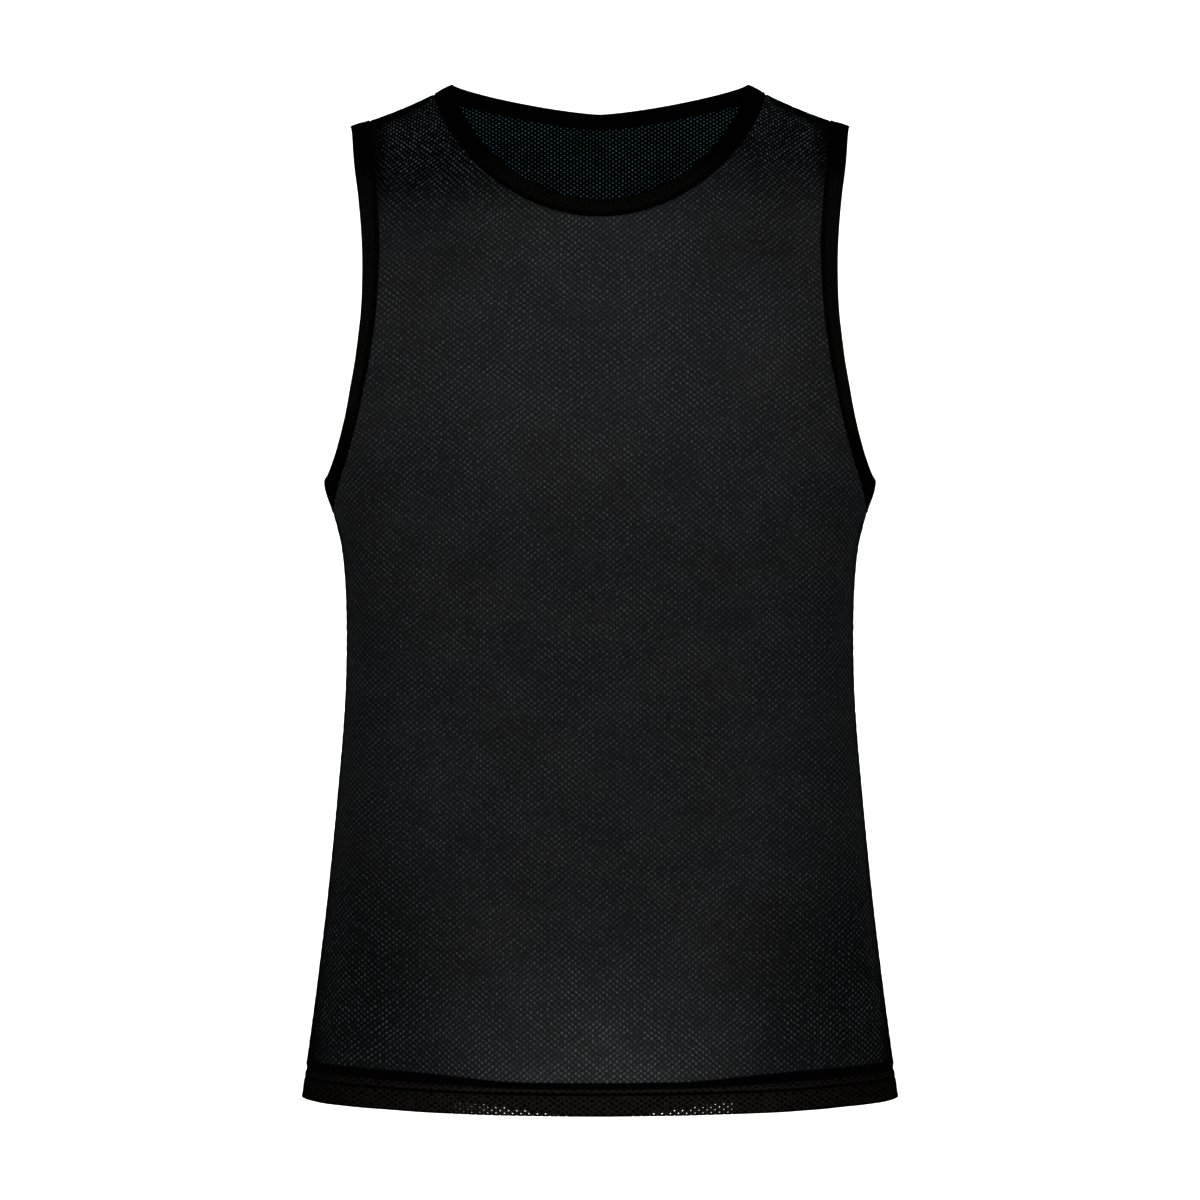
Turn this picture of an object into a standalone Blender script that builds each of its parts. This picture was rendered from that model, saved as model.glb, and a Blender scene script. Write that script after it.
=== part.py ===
"""A sleeveless training bib in micro mesh, filled out and hollow, as it hangs on a wearer.

Metres, +Z up. The front faces -Y and +X is the viewer's right, which is the wearer's left. The origin lies
between the two shoulder straps, level with the middle of each, where the wearer carries the bib.

The form is a stack of rounded sections, closed at the top over the shoulder ridge. A place on it is given by
two numbers: the angle round the section, 0 at the centre line and 90 degrees at the side seam, and the descent
from the ridge, where 1 is the foot of the shoulder's curve. Drops are millimetres below the neck points.
"""
import math
from collections import namedtuple
from functools import lru_cache

import bmesh
import bpy
from mathutils import Vector

COLLECTION_NAME = "training_bib"
MM = 0.001

# Sizes in millimetres.
LENGTH = 709.0  # neck point to hem
ORIGIN_DROP = 15.0  # the middle of a shoulder strap
WALL = 1.2
HEM_HEIGHT = 23.0  # the hem is turned up, so its wall is double
SEAM_GAP = 0.3

NECK_HALF_WIDTH = 103.0
FRONT_NECK_DROP = 87.3
BACK_NECK_DROP = 15.2
NECK_BAND_WIDTH = 12.5
FRONT_SCOOP_POWER = 1.38  # higher is more pointed
BACK_SCOOP_POWER = 1.35
FRONT_BAND_FALL = 0.92  # the cloth slopes, so a band's seam drops by less than the band's width
BACK_BAND_FALL = 0.75

SHOULDER_SLOPE = 0.54  # fall of the ridge for each millimetre outwards, at the neck point
SHOULDER_SAG = 0.0018  # the ridge flattens towards the arm
NAPE_RISE = 15.0  # how far the ridge's line would rise inside the neck
SHOULDER_CURVE_HEIGHT = 140.0
SHOULDER_CURVE_POWER = 1.7  # 2 is a round shoulder, less is a sloping one

BAND_PROUD = 0.5  # the folded bindings stand this far out from the mesh
BAND_THICKNESS = 2.2

ELLIPSE = 2.0  # the squareness of an ellipse. A section under it is pointed at the side seams alone.
Section = namedtuple("Section", "drop half_width front_depth back_depth squareness")
SECTIONS = (
    Section(-30, 205.0, 74.0, 98.0, 2.40),
    Section(30, 205.0, 80.0, 103.0, 2.40),
    Section(60, 204.0, 83.0, 106.0, 2.40),
    Section(90, 199.0, 88.0, 110.0, 2.35),
    Section(120, 193.0, 95.0, 114.0, 2.25),
    Section(150, 189.0, 103.0, 117.0, 2.15),
    Section(180, 188.5, 110.0, 118.0, 2.05),
    Section(220, 190.5, 116.0, 116.0, 1.92),
    Section(277, 193.0, 119.0, 110.0, 1.75),
    Section(300, 186.8, 118.5, 106.5, 1.78),
    Section(326, 180.6, 117.0, 103.0, 1.85),
    Section(368, 177.6, 115.0, 97.0, 1.98),
    Section(430, 178.4, 115.0, 95.0, 2.00),
    Section(500, 184.0, 117.0, 101.0, 1.95),
    Section(570, 191.0, 120.0, 110.0, 1.80),
    Section(640, 199.5, 123.0, 115.0, 1.70),
    Section(709, 209.0, 124.0, 117.0, 1.62),
)

# The armhole's finished edge, from the shoulder down to the side seam, and the binding's width. The binding meets
# the side seam at a slant, so it reaches further down there.
ArmholeRow = namedtuple("ArmholeRow", "drop angle band")
ARMHOLE = (
    ArmholeRow(31, 55.8, 14.0),
    ArmholeRow(60, 53.9, 14.0),
    ArmholeRow(90, 54.3, 14.0),
    ArmholeRow(120, 56.6, 14.0),
    ArmholeRow(150, 59.4, 14.0),
    ArmholeRow(180, 62.1, 14.0),
    ArmholeRow(212, 65.0, 14.0),
    ArmholeRow(240, 68.2, 14.5),
    ArmholeRow(261, 72.8, 16.0),
    ArmholeRow(273.5, 79.8, 20.0),
    ArmholeRow(277, 90.0, 25.0),
)

# Soft creases, each a straight ridge or trough from one place to another. Negative angles lie on the -X side.
Crease = namedtuple("Crease", "angle_a drop_a angle_b drop_b reach height")
FRONT_CREASES = (
    Crease(-62, 500, -66, 730, 15, 2.2),
    Crease(-43, 560, -45, 730, 14, -1.6),
    Crease(-20, 610, -21, 730, 17, 1.3),
    Crease(9, 640, 10, 730, 16, -1.0),
    Crease(34, 575, 36, 730, 15, 1.6),
    Crease(52, 520, 55, 730, 14, -1.8),
    Crease(70, 540, 72, 730, 14, 1.9),
    Crease(-74, 330, -40, 430, 12, -1.5),
    Crease(75, 318, 44, 405, 12, -1.6),
    Crease(-60, 420, -57, 540, 15, -1.6),
    Crease(58, 440, 60, 560, 15, -1.5),
    Crease(-50, 190, -22, 245, 14, 1.1),
    Crease(49, 182, 25, 250, 14, 1.2),
)
BACK_CREASES = (
    Crease(-68, 480, -70, 730, 15, 2.0),
    Crease(-46, 420, -42, 620, 17, -2.4),
    Crease(-24, 560, -26, 730, 16, 1.8),
    Crease(4, 400, 2, 600, 20, -2.0),
    Crease(27, 585, 29, 730, 15, 1.5),
    Crease(47, 430, 43, 640, 17, -2.2),
    Crease(66, 500, 69, 730, 15, 2.1),
    Crease(-72, 320, -38, 400, 12, -1.5),
    Crease(71, 326, 36, 392, 12, -1.4),
    Crease(-30, 100, -52, 200, 16, 1.2),
    Crease(32, 104, 50, 210, 16, 1.3),
)
QUARTER_GIRTH = 250.0  # a quarter of the way round, for measuring along the cloth
CREASE_START = 0.25  # share of its height that a crease has at its first end
CREASE_GROWTH = 1.5
CREASE_FADE = 8  # creases flatten at the side seams, and more of the panel is flat the lower this is

# How finely each panel is divided. The counts are for one half of a panel.
NECK_COLUMNS = 10
SHOULDER_COLUMNS = 4
YOKE_BASE_DROP = 330.0  # below this every row is level
HEM_ROWS = 3
SIDE_ROWS = 2
ARMHOLE_ROWS_PER_ENTRY = 2
BODY_ROWS = 11
HEM_STEP = 1.5  # height over which the wall thins above the hem, in millimetres
INSET_STEPS = 5
RELAX_ROUNDS = 150
ANGLE_STEP = 0.5  # degrees, for measuring slopes
DESCENT_STEP = 0.01

BAND_SECTION = (  # share of the way from seam to finished edge, and of the thickness, from outside to inside
    (0.00, 0.12),
    (0.08, 0.00),
    (0.50, 0.00),
    (0.90, 0.04),
    (1.00, 0.50),
    (0.90, 0.96),
    (0.50, 1.00),
    (0.00, 0.92),
)


def smooth_value(keys, values, at):
    """The value at a key, on a smooth curve through the table's values."""
    last = len(keys) - 1
    i = 0
    while i < last - 1 and at > keys[i + 1]:
        i += 1

    def slope(k):
        low = max(k - 1, 0)
        high = min(k + 1, last)
        return (values[high] - values[low]) / (keys[high] - keys[low])

    span = keys[i + 1] - keys[i]
    f = min(max((at - keys[i]) / span, 0.0), 1.0)
    return (
        (2 * f**3 - 3 * f**2 + 1) * values[i]
        + (f**3 - 2 * f**2 + f) * span * slope(i)
        + (3 * f**2 - 2 * f**3) * values[i + 1]
        + (f**3 - f**2) * span * slope(i + 1)
    )


def section_at(drop):
    """The section at a height, between the table's rows."""
    keys = [row.drop for row in SECTIONS]
    columns = list(zip(*SECTIONS))[1:]
    return Section(drop, *(smooth_value(keys, column, drop) for column in columns))


def spread(section, angle):
    """How far from the centre line a place at this angle lies on a section."""
    sine = math.sin(math.radians(min(abs(angle), 90.0)))
    return section.half_width * sine ** (2 / max(section.squareness, ELLIPSE))


def ridge_drop(angle):
    """How far the shoulder ridge lies below the neck points, above a place at this angle."""
    out = spread(SECTIONS[0], angle) - NECK_HALF_WIDTH
    if out < 0:
        return -NAPE_RISE * (1 - math.exp(out * SHOULDER_SLOPE / NAPE_RISE))
    return SHOULDER_SLOPE * out - SHOULDER_SAG * out**2


def drop_at(angle, descent):
    """The drop of a place given by its angle and its descent from the ridge."""
    turn = min(descent, 1.0) * math.pi / 2
    curve = 1 - math.cos(turn) ** (2 / SHOULDER_CURVE_POWER)
    return ridge_drop(angle) + SHOULDER_CURVE_HEIGHT * (curve + max(descent - 1.0, 0.0))


def descent_at(angle, drop):
    """The descent from the ridge of a place given by its angle and its drop."""
    share = (drop - ridge_drop(angle)) / SHOULDER_CURVE_HEIGHT
    if share >= 1:
        return share
    return math.acos((1 - max(share, 0.0)) ** (SHOULDER_CURVE_POWER / 2)) / (math.pi / 2)


def crease_height(creases, angle, drop):
    """How far the cloth stands out at a place, from the creases near it."""
    here = Vector((angle / 90 * QUARTER_GIRTH, drop))
    total = 0.0
    for crease in creases:
        start = Vector((crease.angle_a / 90 * QUARTER_GIRTH, crease.drop_a))
        run = Vector((crease.angle_b / 90 * QUARTER_GIRTH, crease.drop_b)) - start
        along = min(max((here - start).dot(run) / run.length_squared, 0.0), 1.0)
        distance = (here - start - along * run).length
        growth = min(1.0, CREASE_START + CREASE_GROWTH * along)
        total += crease.height * growth * math.exp(-((distance / crease.reach) ** 2))
    return total


def surface(side, angle, descent):
    """A point on the outside of the cloth, in metres. side is -1 in front and 1 behind."""
    descent = max(descent, 0.0)
    drop = drop_at(angle, descent)
    section = section_at(drop)
    depth = section.front_depth if side < 0 else section.back_depth
    turn = math.radians(min(abs(angle), 90.0))
    sine = math.sin(turn)
    cosine = max(math.cos(turn), 0.0)
    closing = math.sin(min(descent, 1.0) * math.pi / 2) ** (2 / SHOULDER_CURVE_POWER)
    x = spread(section, angle)
    y = depth * cosine ** (2 / section.squareness) * closing
    creases = FRONT_CREASES if side < 0 else BACK_CREASES
    stand = crease_height(creases, angle, drop) * closing * (1 - sine**CREASE_FADE)
    x += stand * sine
    y += stand * cosine
    return Vector((math.copysign(x, angle), side * y, ORIGIN_DROP - drop)) * MM


def outward(side, angle, descent):
    """The cloth's outward direction at a place. On the seams it lies in the plane between front and back."""
    step = -ANGLE_STEP if angle > 90 - ANGLE_STEP else ANGLE_STEP
    here = surface(side, angle, descent)
    across = (surface(side, angle + step, descent) - here) * step
    down = surface(side, angle, descent + DESCENT_STEP) - here
    normal = across.cross(down) * side
    if descent == 0 or abs(angle) == 90:
        normal.y = 0
    return normal.normalized()


def neck_place(side, turn, inset):
    """A place on a neck curve: turn runs from -90 to 90 degrees, inset is the distance from the finished edge."""
    half_width = NECK_HALF_WIDTH + inset
    x = half_width * math.sin(math.radians(abs(turn)))
    end_drop = SHOULDER_SLOPE * inset - SHOULDER_SAG * inset**2
    if side < 0:
        depth = FRONT_NECK_DROP + FRONT_BAND_FALL * inset
        drop = end_drop + (depth - end_drop) * max(math.cos(math.radians(turn)), 0.0) ** FRONT_SCOOP_POWER
    else:
        depth = BACK_NECK_DROP + BACK_BAND_FALL * inset
        drop = depth + (end_drop - depth) * (x / half_width) ** BACK_SCOOP_POWER
    section = section_at(drop)
    angle = math.degrees(math.asin(min(x / section.half_width, 1.0) ** (section.squareness / 2)))
    descent = 0.0 if abs(turn) == 90 else descent_at(angle, drop)
    return math.copysign(angle, turn), descent


def armhole_edge(share):
    """A place on the +X armhole's finished edge: share runs from 0 at the shoulder to 1 at the side seam."""
    keys = [i / (len(ARMHOLE) - 1) for i in range(len(ARMHOLE))]
    descents = [0.0] + [descent_at(row.angle, row.drop) for row in ARMHOLE[1:]]
    angle = smooth_value(keys, [row.angle for row in ARMHOLE], share)
    return min(angle, 90.0), max(smooth_value(keys, descents, share), 0.0)


@lru_cache(maxsize=None)
def armhole_seam(share):
    """A place on the seam of the +X armhole's binding: a band's width from the edge, square to it along the
    cloth. It keeps to the shoulder ridge at one end and to the side seam at the other."""
    near, far = armhole_edge(max(share - 0.01, 0.0)), armhole_edge(min(share + 0.01, 1.0))
    along = surface(-1, *far) - surface(-1, *near)
    angle, descent = armhole_edge(share)
    keys = [i / (len(ARMHOLE) - 1) for i in range(len(ARMHOLE))]
    step = smooth_value(keys, [row.band for row in ARMHOLE], share) * MM / INSET_STEPS
    for _ in range(INSET_STEPS):
        here = surface(-1, angle, descent)
        by_angle = (here - surface(-1, angle - ANGLE_STEP, descent)) / ANGLE_STEP
        by_descent = (surface(-1, angle, descent + DESCENT_STEP) - here) / DESCENT_STEP
        turn_angle, turn_descent = -by_descent.dot(along), by_angle.dot(along)
        size = (turn_angle * by_angle + turn_descent * by_descent).length
        angle = min(angle + turn_angle * step / size, 90.0)
        descent = max(descent + turn_descent * step / size, 0.0)
    return (90.0 if share == 1 else angle), (0.0 if share == 0 else descent)


def armhole_place(hand, share, inset):
    """A place on an armhole's binding: inset runs from 0 at the finished edge to 1 at the seam. hand is -1 on the
    -X side and 1 on the other."""
    angle, descent = blend(armhole_edge(share), armhole_seam(share), inset)
    return hand * angle, descent


def blend(a, b, share):
    """A place part of the way from one to another."""
    return tuple((1 - share) * p + share * q for p, q in zip(a, b))


def yoke_top(side, share):
    """The panel's top edge from the centre to the arm: along the neck seam, then along the shoulder ridge."""
    neck_share = NECK_COLUMNS / (NECK_COLUMNS + SHOULDER_COLUMNS)
    if share <= neck_share:
        return neck_place(side, 90 * share / neck_share, NECK_BAND_WIDTH)
    start = neck_place(side, 90, NECK_BAND_WIDTH)
    end = armhole_place(1, 0.0, 1.0)
    return blend(start, end, (share - neck_share) / (1 - neck_share))


def yoke_side(share):
    """The panel's side edge from the yoke's base up: the side seam, then the armhole seam."""
    side_share = SIDE_ROWS / (SIDE_ROWS + ARMHOLE_ROWS_PER_ENTRY * (len(ARMHOLE) - 1))
    underarm = armhole_place(1, 1.0, 1.0)
    if share < side_share:
        base = (90.0, descent_at(90.0, YOKE_BASE_DROP))
        return blend(base, underarm, share / side_share)
    return armhole_place(1, 1 - (share - side_share) / (1 - side_share), 1.0)


def yoke_rows(side):
    """Rows of places over one half of the yoke, upwards. Its four edges are fixed and the places between them are
    evened out until each lies midway between its neighbours."""
    columns = NECK_COLUMNS + SHOULDER_COLUMNS
    count = SIDE_ROWS + ARMHOLE_ROWS_PER_ENTRY * (len(ARMHOLE) - 1)
    angles = [90 * j / columns for j in range(columns + 1)]
    base = [(angle, descent_at(angle, YOKE_BASE_DROP)) for angle in angles]
    top = [yoke_top(side, j / columns) for j in range(columns + 1)]
    rows = [[blend(low, high, i / count) for low, high in zip(base, top)] for i in range(count + 1)]
    for i in range(1, count):
        rows[i][-1] = yoke_side(i / count)
    for _ in range(RELAX_ROUNDS):
        for i in range(1, count):
            for j in range(1, columns):
                around = (rows[i - 1][j], rows[i + 1][j], rows[i][j - 1], rows[i][j + 1])
                rows[i][j] = tuple(sum(place[k] for place in around) / 4 for k in (0, 1))
    return rows


def panel_rows(side):
    """Rows of places over one half of a panel, from the hem to the top, each from the centre to the side."""
    columns = NECK_COLUMNS + SHOULDER_COLUMNS
    rows = []
    hem_top = LENGTH - HEM_HEIGHT
    body_drops = [hem_top + i * (YOKE_BASE_DROP - hem_top) / BODY_ROWS for i in range(BODY_ROWS)]
    for drop in [LENGTH, LENGTH - HEM_HEIGHT / 2, hem_top + HEM_STEP] + body_drops:
        rows.append([(90 * j / columns, descent_at(90 * j / columns, drop)) for j in range(columns + 1)])
    return rows + yoke_rows(side)


def wall_depth(row_index):
    """The wall at a row of a panel: double over the turned-up hem, which is the first rows."""
    return (2 * WALL if row_index < HEM_ROWS else WALL) * MM


def cloth_point(side, angle, descent, depth):
    """A point in the cloth of a panel, at a depth under its outside. The shoulder and side seams lie in the plane
    between front and back, and each panel stops half a gap short of it."""
    point = surface(side, angle, descent) - depth * outward(side, angle, descent)
    point.y = side * max(side * point.y, SEAM_GAP / 2 * MM)
    return point


def make_panel(name, side, material, collection):
    """A front or back: an outer and an inner sheet, joined round their edges."""
    cloth = bmesh.new()
    outer, inner = [], []
    for i, half_row in enumerate(panel_rows(side)):
        row = [(-angle, descent) for angle, descent in reversed(half_row[1:])] + half_row
        outer.append([cloth.verts.new(cloth_point(side, *place, 0.0)) for place in row])
        inner.append([cloth.verts.new(cloth_point(side, *place, wall_depth(i))) for place in row])
    for grid in (outer, inner):
        for low, high in zip(grid, grid[1:]):
            for j in range(len(low) - 1):
                cloth.faces.new((low[j], low[j + 1], high[j + 1], high[j]))
    outer_rim, inner_rim = rim_of(outer), rim_of(inner)
    for k in range(len(outer_rim)):
        after = (k + 1) % len(outer_rim)
        cloth.faces.new((outer_rim[k], outer_rim[after], inner_rim[after], inner_rim[k]))
    return make_piece(name, cloth, material, collection)


def rim_of(grid):
    """The vertices round the edge of a grid, in order."""
    right = [row[-1] for row in grid[1:-1]]
    left = [row[0] for row in grid[-2:0:-1]]
    return grid[0] + right + grid[-1][::-1] + left


def band_point(side, seam, edge, width_share, thickness_share, gap_share):
    """A point on a binding, from its share of the width and of the thickness."""
    angle, descent = blend(seam, edge, gap_share + (1 - gap_share) * width_share)
    if seam[1] == 0:
        descent = 0.0
    if abs(seam[0]) == 90:
        angle = seam[0]
    lift = (BAND_PROUD - BAND_THICKNESS * thickness_share) * MM
    return surface(side, angle, descent) + lift * outward(side, angle, descent)


def make_band(name, stations, material, collection):
    """A closed binding, lofted through one rounded section at each station. A station has its side, its place on
    the seam and its place on the finished edge."""
    loop = bmesh.new()
    rings = []
    for side, seam, edge in stations:
        width = (surface(side, *edge) - surface(side, *seam)).length
        gap_share = SEAM_GAP * MM / width
        rings.append([
            loop.verts.new(band_point(side, seam, edge, w, d, gap_share)) for w, d in BAND_SECTION
        ])
    for ring, following in zip(rings, rings[1:] + rings[:1]):
        for k in range(len(ring)):
            after = (k + 1) % len(ring)
            loop.faces.new((ring[k], ring[after], following[after], following[k]))
    return make_piece(name, loop, material, collection)


def neck_stations():
    """Round the neck: across the front, then back across the nape."""
    turns = [90 * j / NECK_COLUMNS for j in range(-NECK_COLUMNS, NECK_COLUMNS + 1)]
    front = [(-1, neck_place(-1, turn, NECK_BAND_WIDTH), neck_place(-1, turn, 0.0)) for turn in turns]
    back = [(1, neck_place(1, turn, NECK_BAND_WIDTH), neck_place(1, turn, 0.0)) for turn in turns[-2:0:-1]]
    return front + back


def armhole_stations(hand):
    """Round one armhole: down the front, then up the back."""
    rows = ARMHOLE_ROWS_PER_ENTRY * (len(ARMHOLE) - 1)
    shares = [i / rows for i in range(rows + 1)]
    front = [(-1, armhole_place(hand, s, 1.0), armhole_place(hand, s, 0.0)) for s in shares]
    back = [(1, armhole_place(hand, s, 1.0), armhole_place(hand, s, 0.0)) for s in shares[-2:0:-1]]
    return front + back


def make_material(name, colour, roughness):
    """A plain cloth material."""
    material = bpy.data.materials.new(name)
    material.use_nodes = True
    shader = material.node_tree.nodes["Principled BSDF"]
    shader.inputs["Base Color"].default_value = (*colour, 1.0)
    shader.inputs["Roughness"].default_value = roughness
    shader.inputs["Metallic"].default_value = 0.0
    return material


def make_piece(name, form, material, collection):
    """A named object from a closed form, smooth but for its sharp edges."""
    bmesh.ops.recalc_face_normals(form, faces=form.faces)
    mesh = bpy.data.meshes.new(name)
    form.to_mesh(mesh)
    form.free()
    mesh.materials.append(material)
    mesh.shade_smooth()
    mesh.set_sharp_from_angle(angle=math.radians(50))
    piece = bpy.data.objects.new(name, mesh)
    collection.objects.link(piece)
    return piece


def main():
    for piece in list(bpy.data.objects):
        bpy.data.objects.remove(piece)
    collection = bpy.data.collections.new(COLLECTION_NAME)
    bpy.context.scene.collection.children.link(collection)
    mesh_cloth = make_material("micro_mesh", (0.014, 0.015, 0.016), 0.8)
    band_cloth = make_material("binding_knit", (0.006, 0.006, 0.007), 0.85)
    make_panel("front_panel", -1, mesh_cloth, collection)
    make_panel("back_panel", 1, mesh_cloth, collection)
    make_band("neck_binding", neck_stations(), band_cloth, collection)
    make_band("armhole_binding_right", armhole_stations(-1), band_cloth, collection)
    make_band("armhole_binding_left", armhole_stations(1), band_cloth, collection)


main()
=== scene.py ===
"""The looks of a sleeveless training bib in black micro mesh, filled out and hollow, as it hangs on a wearer.

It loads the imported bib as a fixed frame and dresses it: two panels of micro mesh, the folded knit bindings of the
neck and armholes, and the sewing. The front faces -Y, +X is the viewer's right, and drops are millimetres below
the neck points. A place on the cloth is an angle, 0 at the centre line and 90 degrees at the side seam, and a
descent from the shoulder ridge, where 1 is the foot of the shoulder's curve.
"""

import math
from collections import namedtuple

import bpy
import numpy as np
from bpy.props import FloatProperty, FloatVectorProperty, PointerProperty
from bpy.types import Operator, Panel, PropertyGroup
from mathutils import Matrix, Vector


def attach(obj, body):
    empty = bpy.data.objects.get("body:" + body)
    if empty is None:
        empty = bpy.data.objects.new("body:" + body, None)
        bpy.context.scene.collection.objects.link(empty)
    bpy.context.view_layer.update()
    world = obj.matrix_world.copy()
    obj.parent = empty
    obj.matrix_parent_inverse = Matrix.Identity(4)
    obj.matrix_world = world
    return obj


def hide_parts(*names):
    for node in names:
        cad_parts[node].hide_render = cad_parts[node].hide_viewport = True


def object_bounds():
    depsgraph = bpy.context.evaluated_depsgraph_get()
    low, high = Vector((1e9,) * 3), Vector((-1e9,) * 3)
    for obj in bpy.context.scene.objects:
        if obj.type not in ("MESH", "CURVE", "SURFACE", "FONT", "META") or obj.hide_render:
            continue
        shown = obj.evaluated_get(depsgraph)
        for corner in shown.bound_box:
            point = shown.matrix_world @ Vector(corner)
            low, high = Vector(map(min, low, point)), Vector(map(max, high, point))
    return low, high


bl_info = {
    "name": "Training bib",
    "version": (1, 0, 0),
    "blender": (4, 5, 0),
    "location": "View3D > Sidebar > Bib",
    "description": "Dresses the bib's frame in micro mesh, knit bindings and sewing",
    "category": "Object",
}

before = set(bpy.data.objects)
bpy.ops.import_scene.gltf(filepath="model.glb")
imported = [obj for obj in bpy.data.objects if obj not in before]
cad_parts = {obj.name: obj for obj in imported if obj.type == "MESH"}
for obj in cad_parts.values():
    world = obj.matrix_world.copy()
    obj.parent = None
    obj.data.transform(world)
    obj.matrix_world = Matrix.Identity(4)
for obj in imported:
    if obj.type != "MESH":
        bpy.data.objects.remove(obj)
CAD_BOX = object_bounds()

MM = 0.001
FRONT = -1
BACK = 1


def rows_of(kind, *rows):
    """A table's rows, with the names of its columns."""
    return tuple(kind(*row) for row in rows)


# ---- the form, in millimetres
LENGTH = 709.0
ORIGIN_DROP = 15.0
WALL = 1.2
HEM_HEIGHT = 23.0
HEM_STEP = 1.5  # height over which the doubled cloth of the hem ends
EDGE_LIFT = 0.35  # share of the wall by which the inside rises to the hem's folded edge
EDGE_REACH = 0.5

NECK_HALF_WIDTH = 103.0
FRONT_NECK_DROP = 87.3
BACK_NECK_DROP = 15.2
NECK_BAND_WIDTH = 12.5
FRONT_SCOOP_POWER = 1.38
BACK_SCOOP_POWER = 1.35
FRONT_BAND_FALL = 0.92
BACK_BAND_FALL = 0.75

SHOULDER_SLOPE = 0.54
SHOULDER_SAG = 0.0018
NAPE_RISE = 15.0
SHOULDER_CURVE_HEIGHT = 140.0
SHOULDER_CURVE_POWER = 1.7

BAND_PROUD = 0.5
BAND_THICKNESS = 2.2

ELLIPSE = 2.0
Section = namedtuple("Section", "drop half_width front_depth back_depth squareness")
SECTIONS = rows_of(
    Section,
    (-30, 205.0, 74.0, 98.0, 2.40),
    (30, 205.0, 80.0, 103.0, 2.40),
    (60, 204.0, 83.0, 106.0, 2.40),
    (90, 199.0, 88.0, 110.0, 2.35),
    (120, 193.0, 95.0, 114.0, 2.25),
    (150, 189.0, 103.0, 117.0, 2.15),
    (180, 188.5, 110.0, 118.0, 2.05),
    (220, 190.5, 116.0, 116.0, 1.92),
    (277, 193.0, 119.0, 110.0, 1.75),
    (300, 186.8, 118.5, 106.5, 1.78),
    (326, 180.6, 117.0, 103.0, 1.85),
    (368, 177.6, 115.0, 97.0, 1.98),
    (430, 178.4, 115.0, 95.0, 2.00),
    (500, 184.0, 117.0, 101.0, 1.95),
    (570, 191.0, 120.0, 110.0, 1.80),
    (640, 199.5, 123.0, 115.0, 1.70),
    (709, 209.0, 124.0, 117.0, 1.62),
)

# The finished edge of an armhole from the shoulder to the side seam: drop, angle and width of its binding.
ARMHOLE_DROPS, ARMHOLE_ANGLES, ARMHOLE_WIDTHS = np.array(
    [
        (31, 55.8, 14.0),
        (60, 53.9, 14.0),
        (90, 54.3, 14.0),
        (120, 56.6, 14.0),
        (150, 59.4, 14.0),
        (180, 62.1, 14.0),
        (212, 65.0, 14.0),
        (240, 68.2, 14.5),
        (261, 72.8, 16.0),
        (273.5, 79.8, 20.0),
        (277, 90.0, 25.0),
    ]
).T
ARMHOLE_SHARES = np.linspace(0, 1, len(ARMHOLE_DROPS))

# The main creases, as in the frame, from a place a to a place b, and finer ones that only show here.
Crease = namedtuple("Crease", "angle_a drop_a angle_b drop_b reach height")
CREASES = {
    FRONT: rows_of(
        Crease,
        (-62, 500, -66, 730, 15, 2.2), (-43, 560, -45, 730, 14, -1.6), (-20, 610, -21, 730, 17, 1.3),
        (9, 640, 10, 730, 16, -1.0), (34, 575, 36, 730, 15, 1.6), (52, 520, 55, 730, 14, -1.8),
        (70, 540, 72, 730, 14, 1.9), (-74, 330, -40, 430, 12, -1.5), (75, 318, 44, 405, 12, -1.6),
        (-60, 420, -57, 540, 15, -1.6), (58, 440, 60, 560, 15, -1.5), (-50, 190, -22, 245, 14, 1.1),
        (49, 182, 25, 250, 14, 1.2),
    ),
    BACK: rows_of(
        Crease,
        (-68, 480, -70, 730, 15, 2.0), (-46, 420, -42, 620, 17, -2.4), (-24, 560, -26, 730, 16, 1.8),
        (4, 400, 2, 600, 20, -2.0), (27, 585, 29, 730, 15, 1.5), (47, 430, 43, 640, 17, -2.2),
        (66, 500, 69, 730, 15, 2.1), (-72, 320, -38, 400, 12, -1.5), (71, 326, 36, 392, 12, -1.4),
        (-30, 100, -52, 200, 16, 1.2), (32, 104, 50, 210, 16, 1.3),
    ),
}
FINE_CREASES = {
    FRONT: rows_of(
        Crease,
        (-78, 395, -73, 470, 7, -0.7), (-71, 345, -63, 372, 6, 0.6), (-66, 560, -71, 650, 8, -0.7),
        (-53, 460, -51, 575, 8, 0.6), (-35, 520, -33, 640, 9, -0.5), (-30, 655, -33, 725, 8, 0.6),
        (-11, 560, -13, 700, 11, 0.4), (2, 330, 4, 470, 12, 0.3), (18, 640, 22, 725, 8, -0.6),
        (26, 500, 24, 610, 10, 0.5), (43, 610, 46, 725, 8, 0.7), (51, 352, 66, 390, 7, 0.6),
        (63, 480, 62, 560, 8, 0.6), (77, 402, 73, 486, 7, -0.7), (62, 640, 63, 725, 7, -0.6),
        (-44, 120, -47, 190, 9, -0.5), (42, 118, 46, 196, 9, -0.5), (-18, 120, -38, 150, 9, 0.4),
        (17, 118, 36, 146, 9, 0.4),
    ),
    BACK: rows_of(
        Crease,
        (-79, 400, -74, 480, 7, -0.7), (-60, 360, -50, 395, 7, 0.6), (-57, 540, -60, 660, 8, -0.7),
        (-34, 450, -31, 560, 9, 0.7), (-15, 470, -12, 590, 9, -0.6), (14, 430, 12, 560, 9, 0.6),
        (20, 620, 23, 725, 8, -0.6), (36, 520, 34, 620, 9, 0.7), (56, 560, 58, 680, 8, -0.7),
        (59, 352, 48, 390, 7, 0.6), (78, 405, 74, 490, 7, -0.7), (-14, 120, -30, 172, 10, -0.5),
        (13, 116, 28, 166, 10, -0.5),
    ),
}
QUARTER_GIRTH = 250.0
CREASE_START = 0.25
CREASE_GROWTH = 1.5
CREASE_FADE = 8

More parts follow.
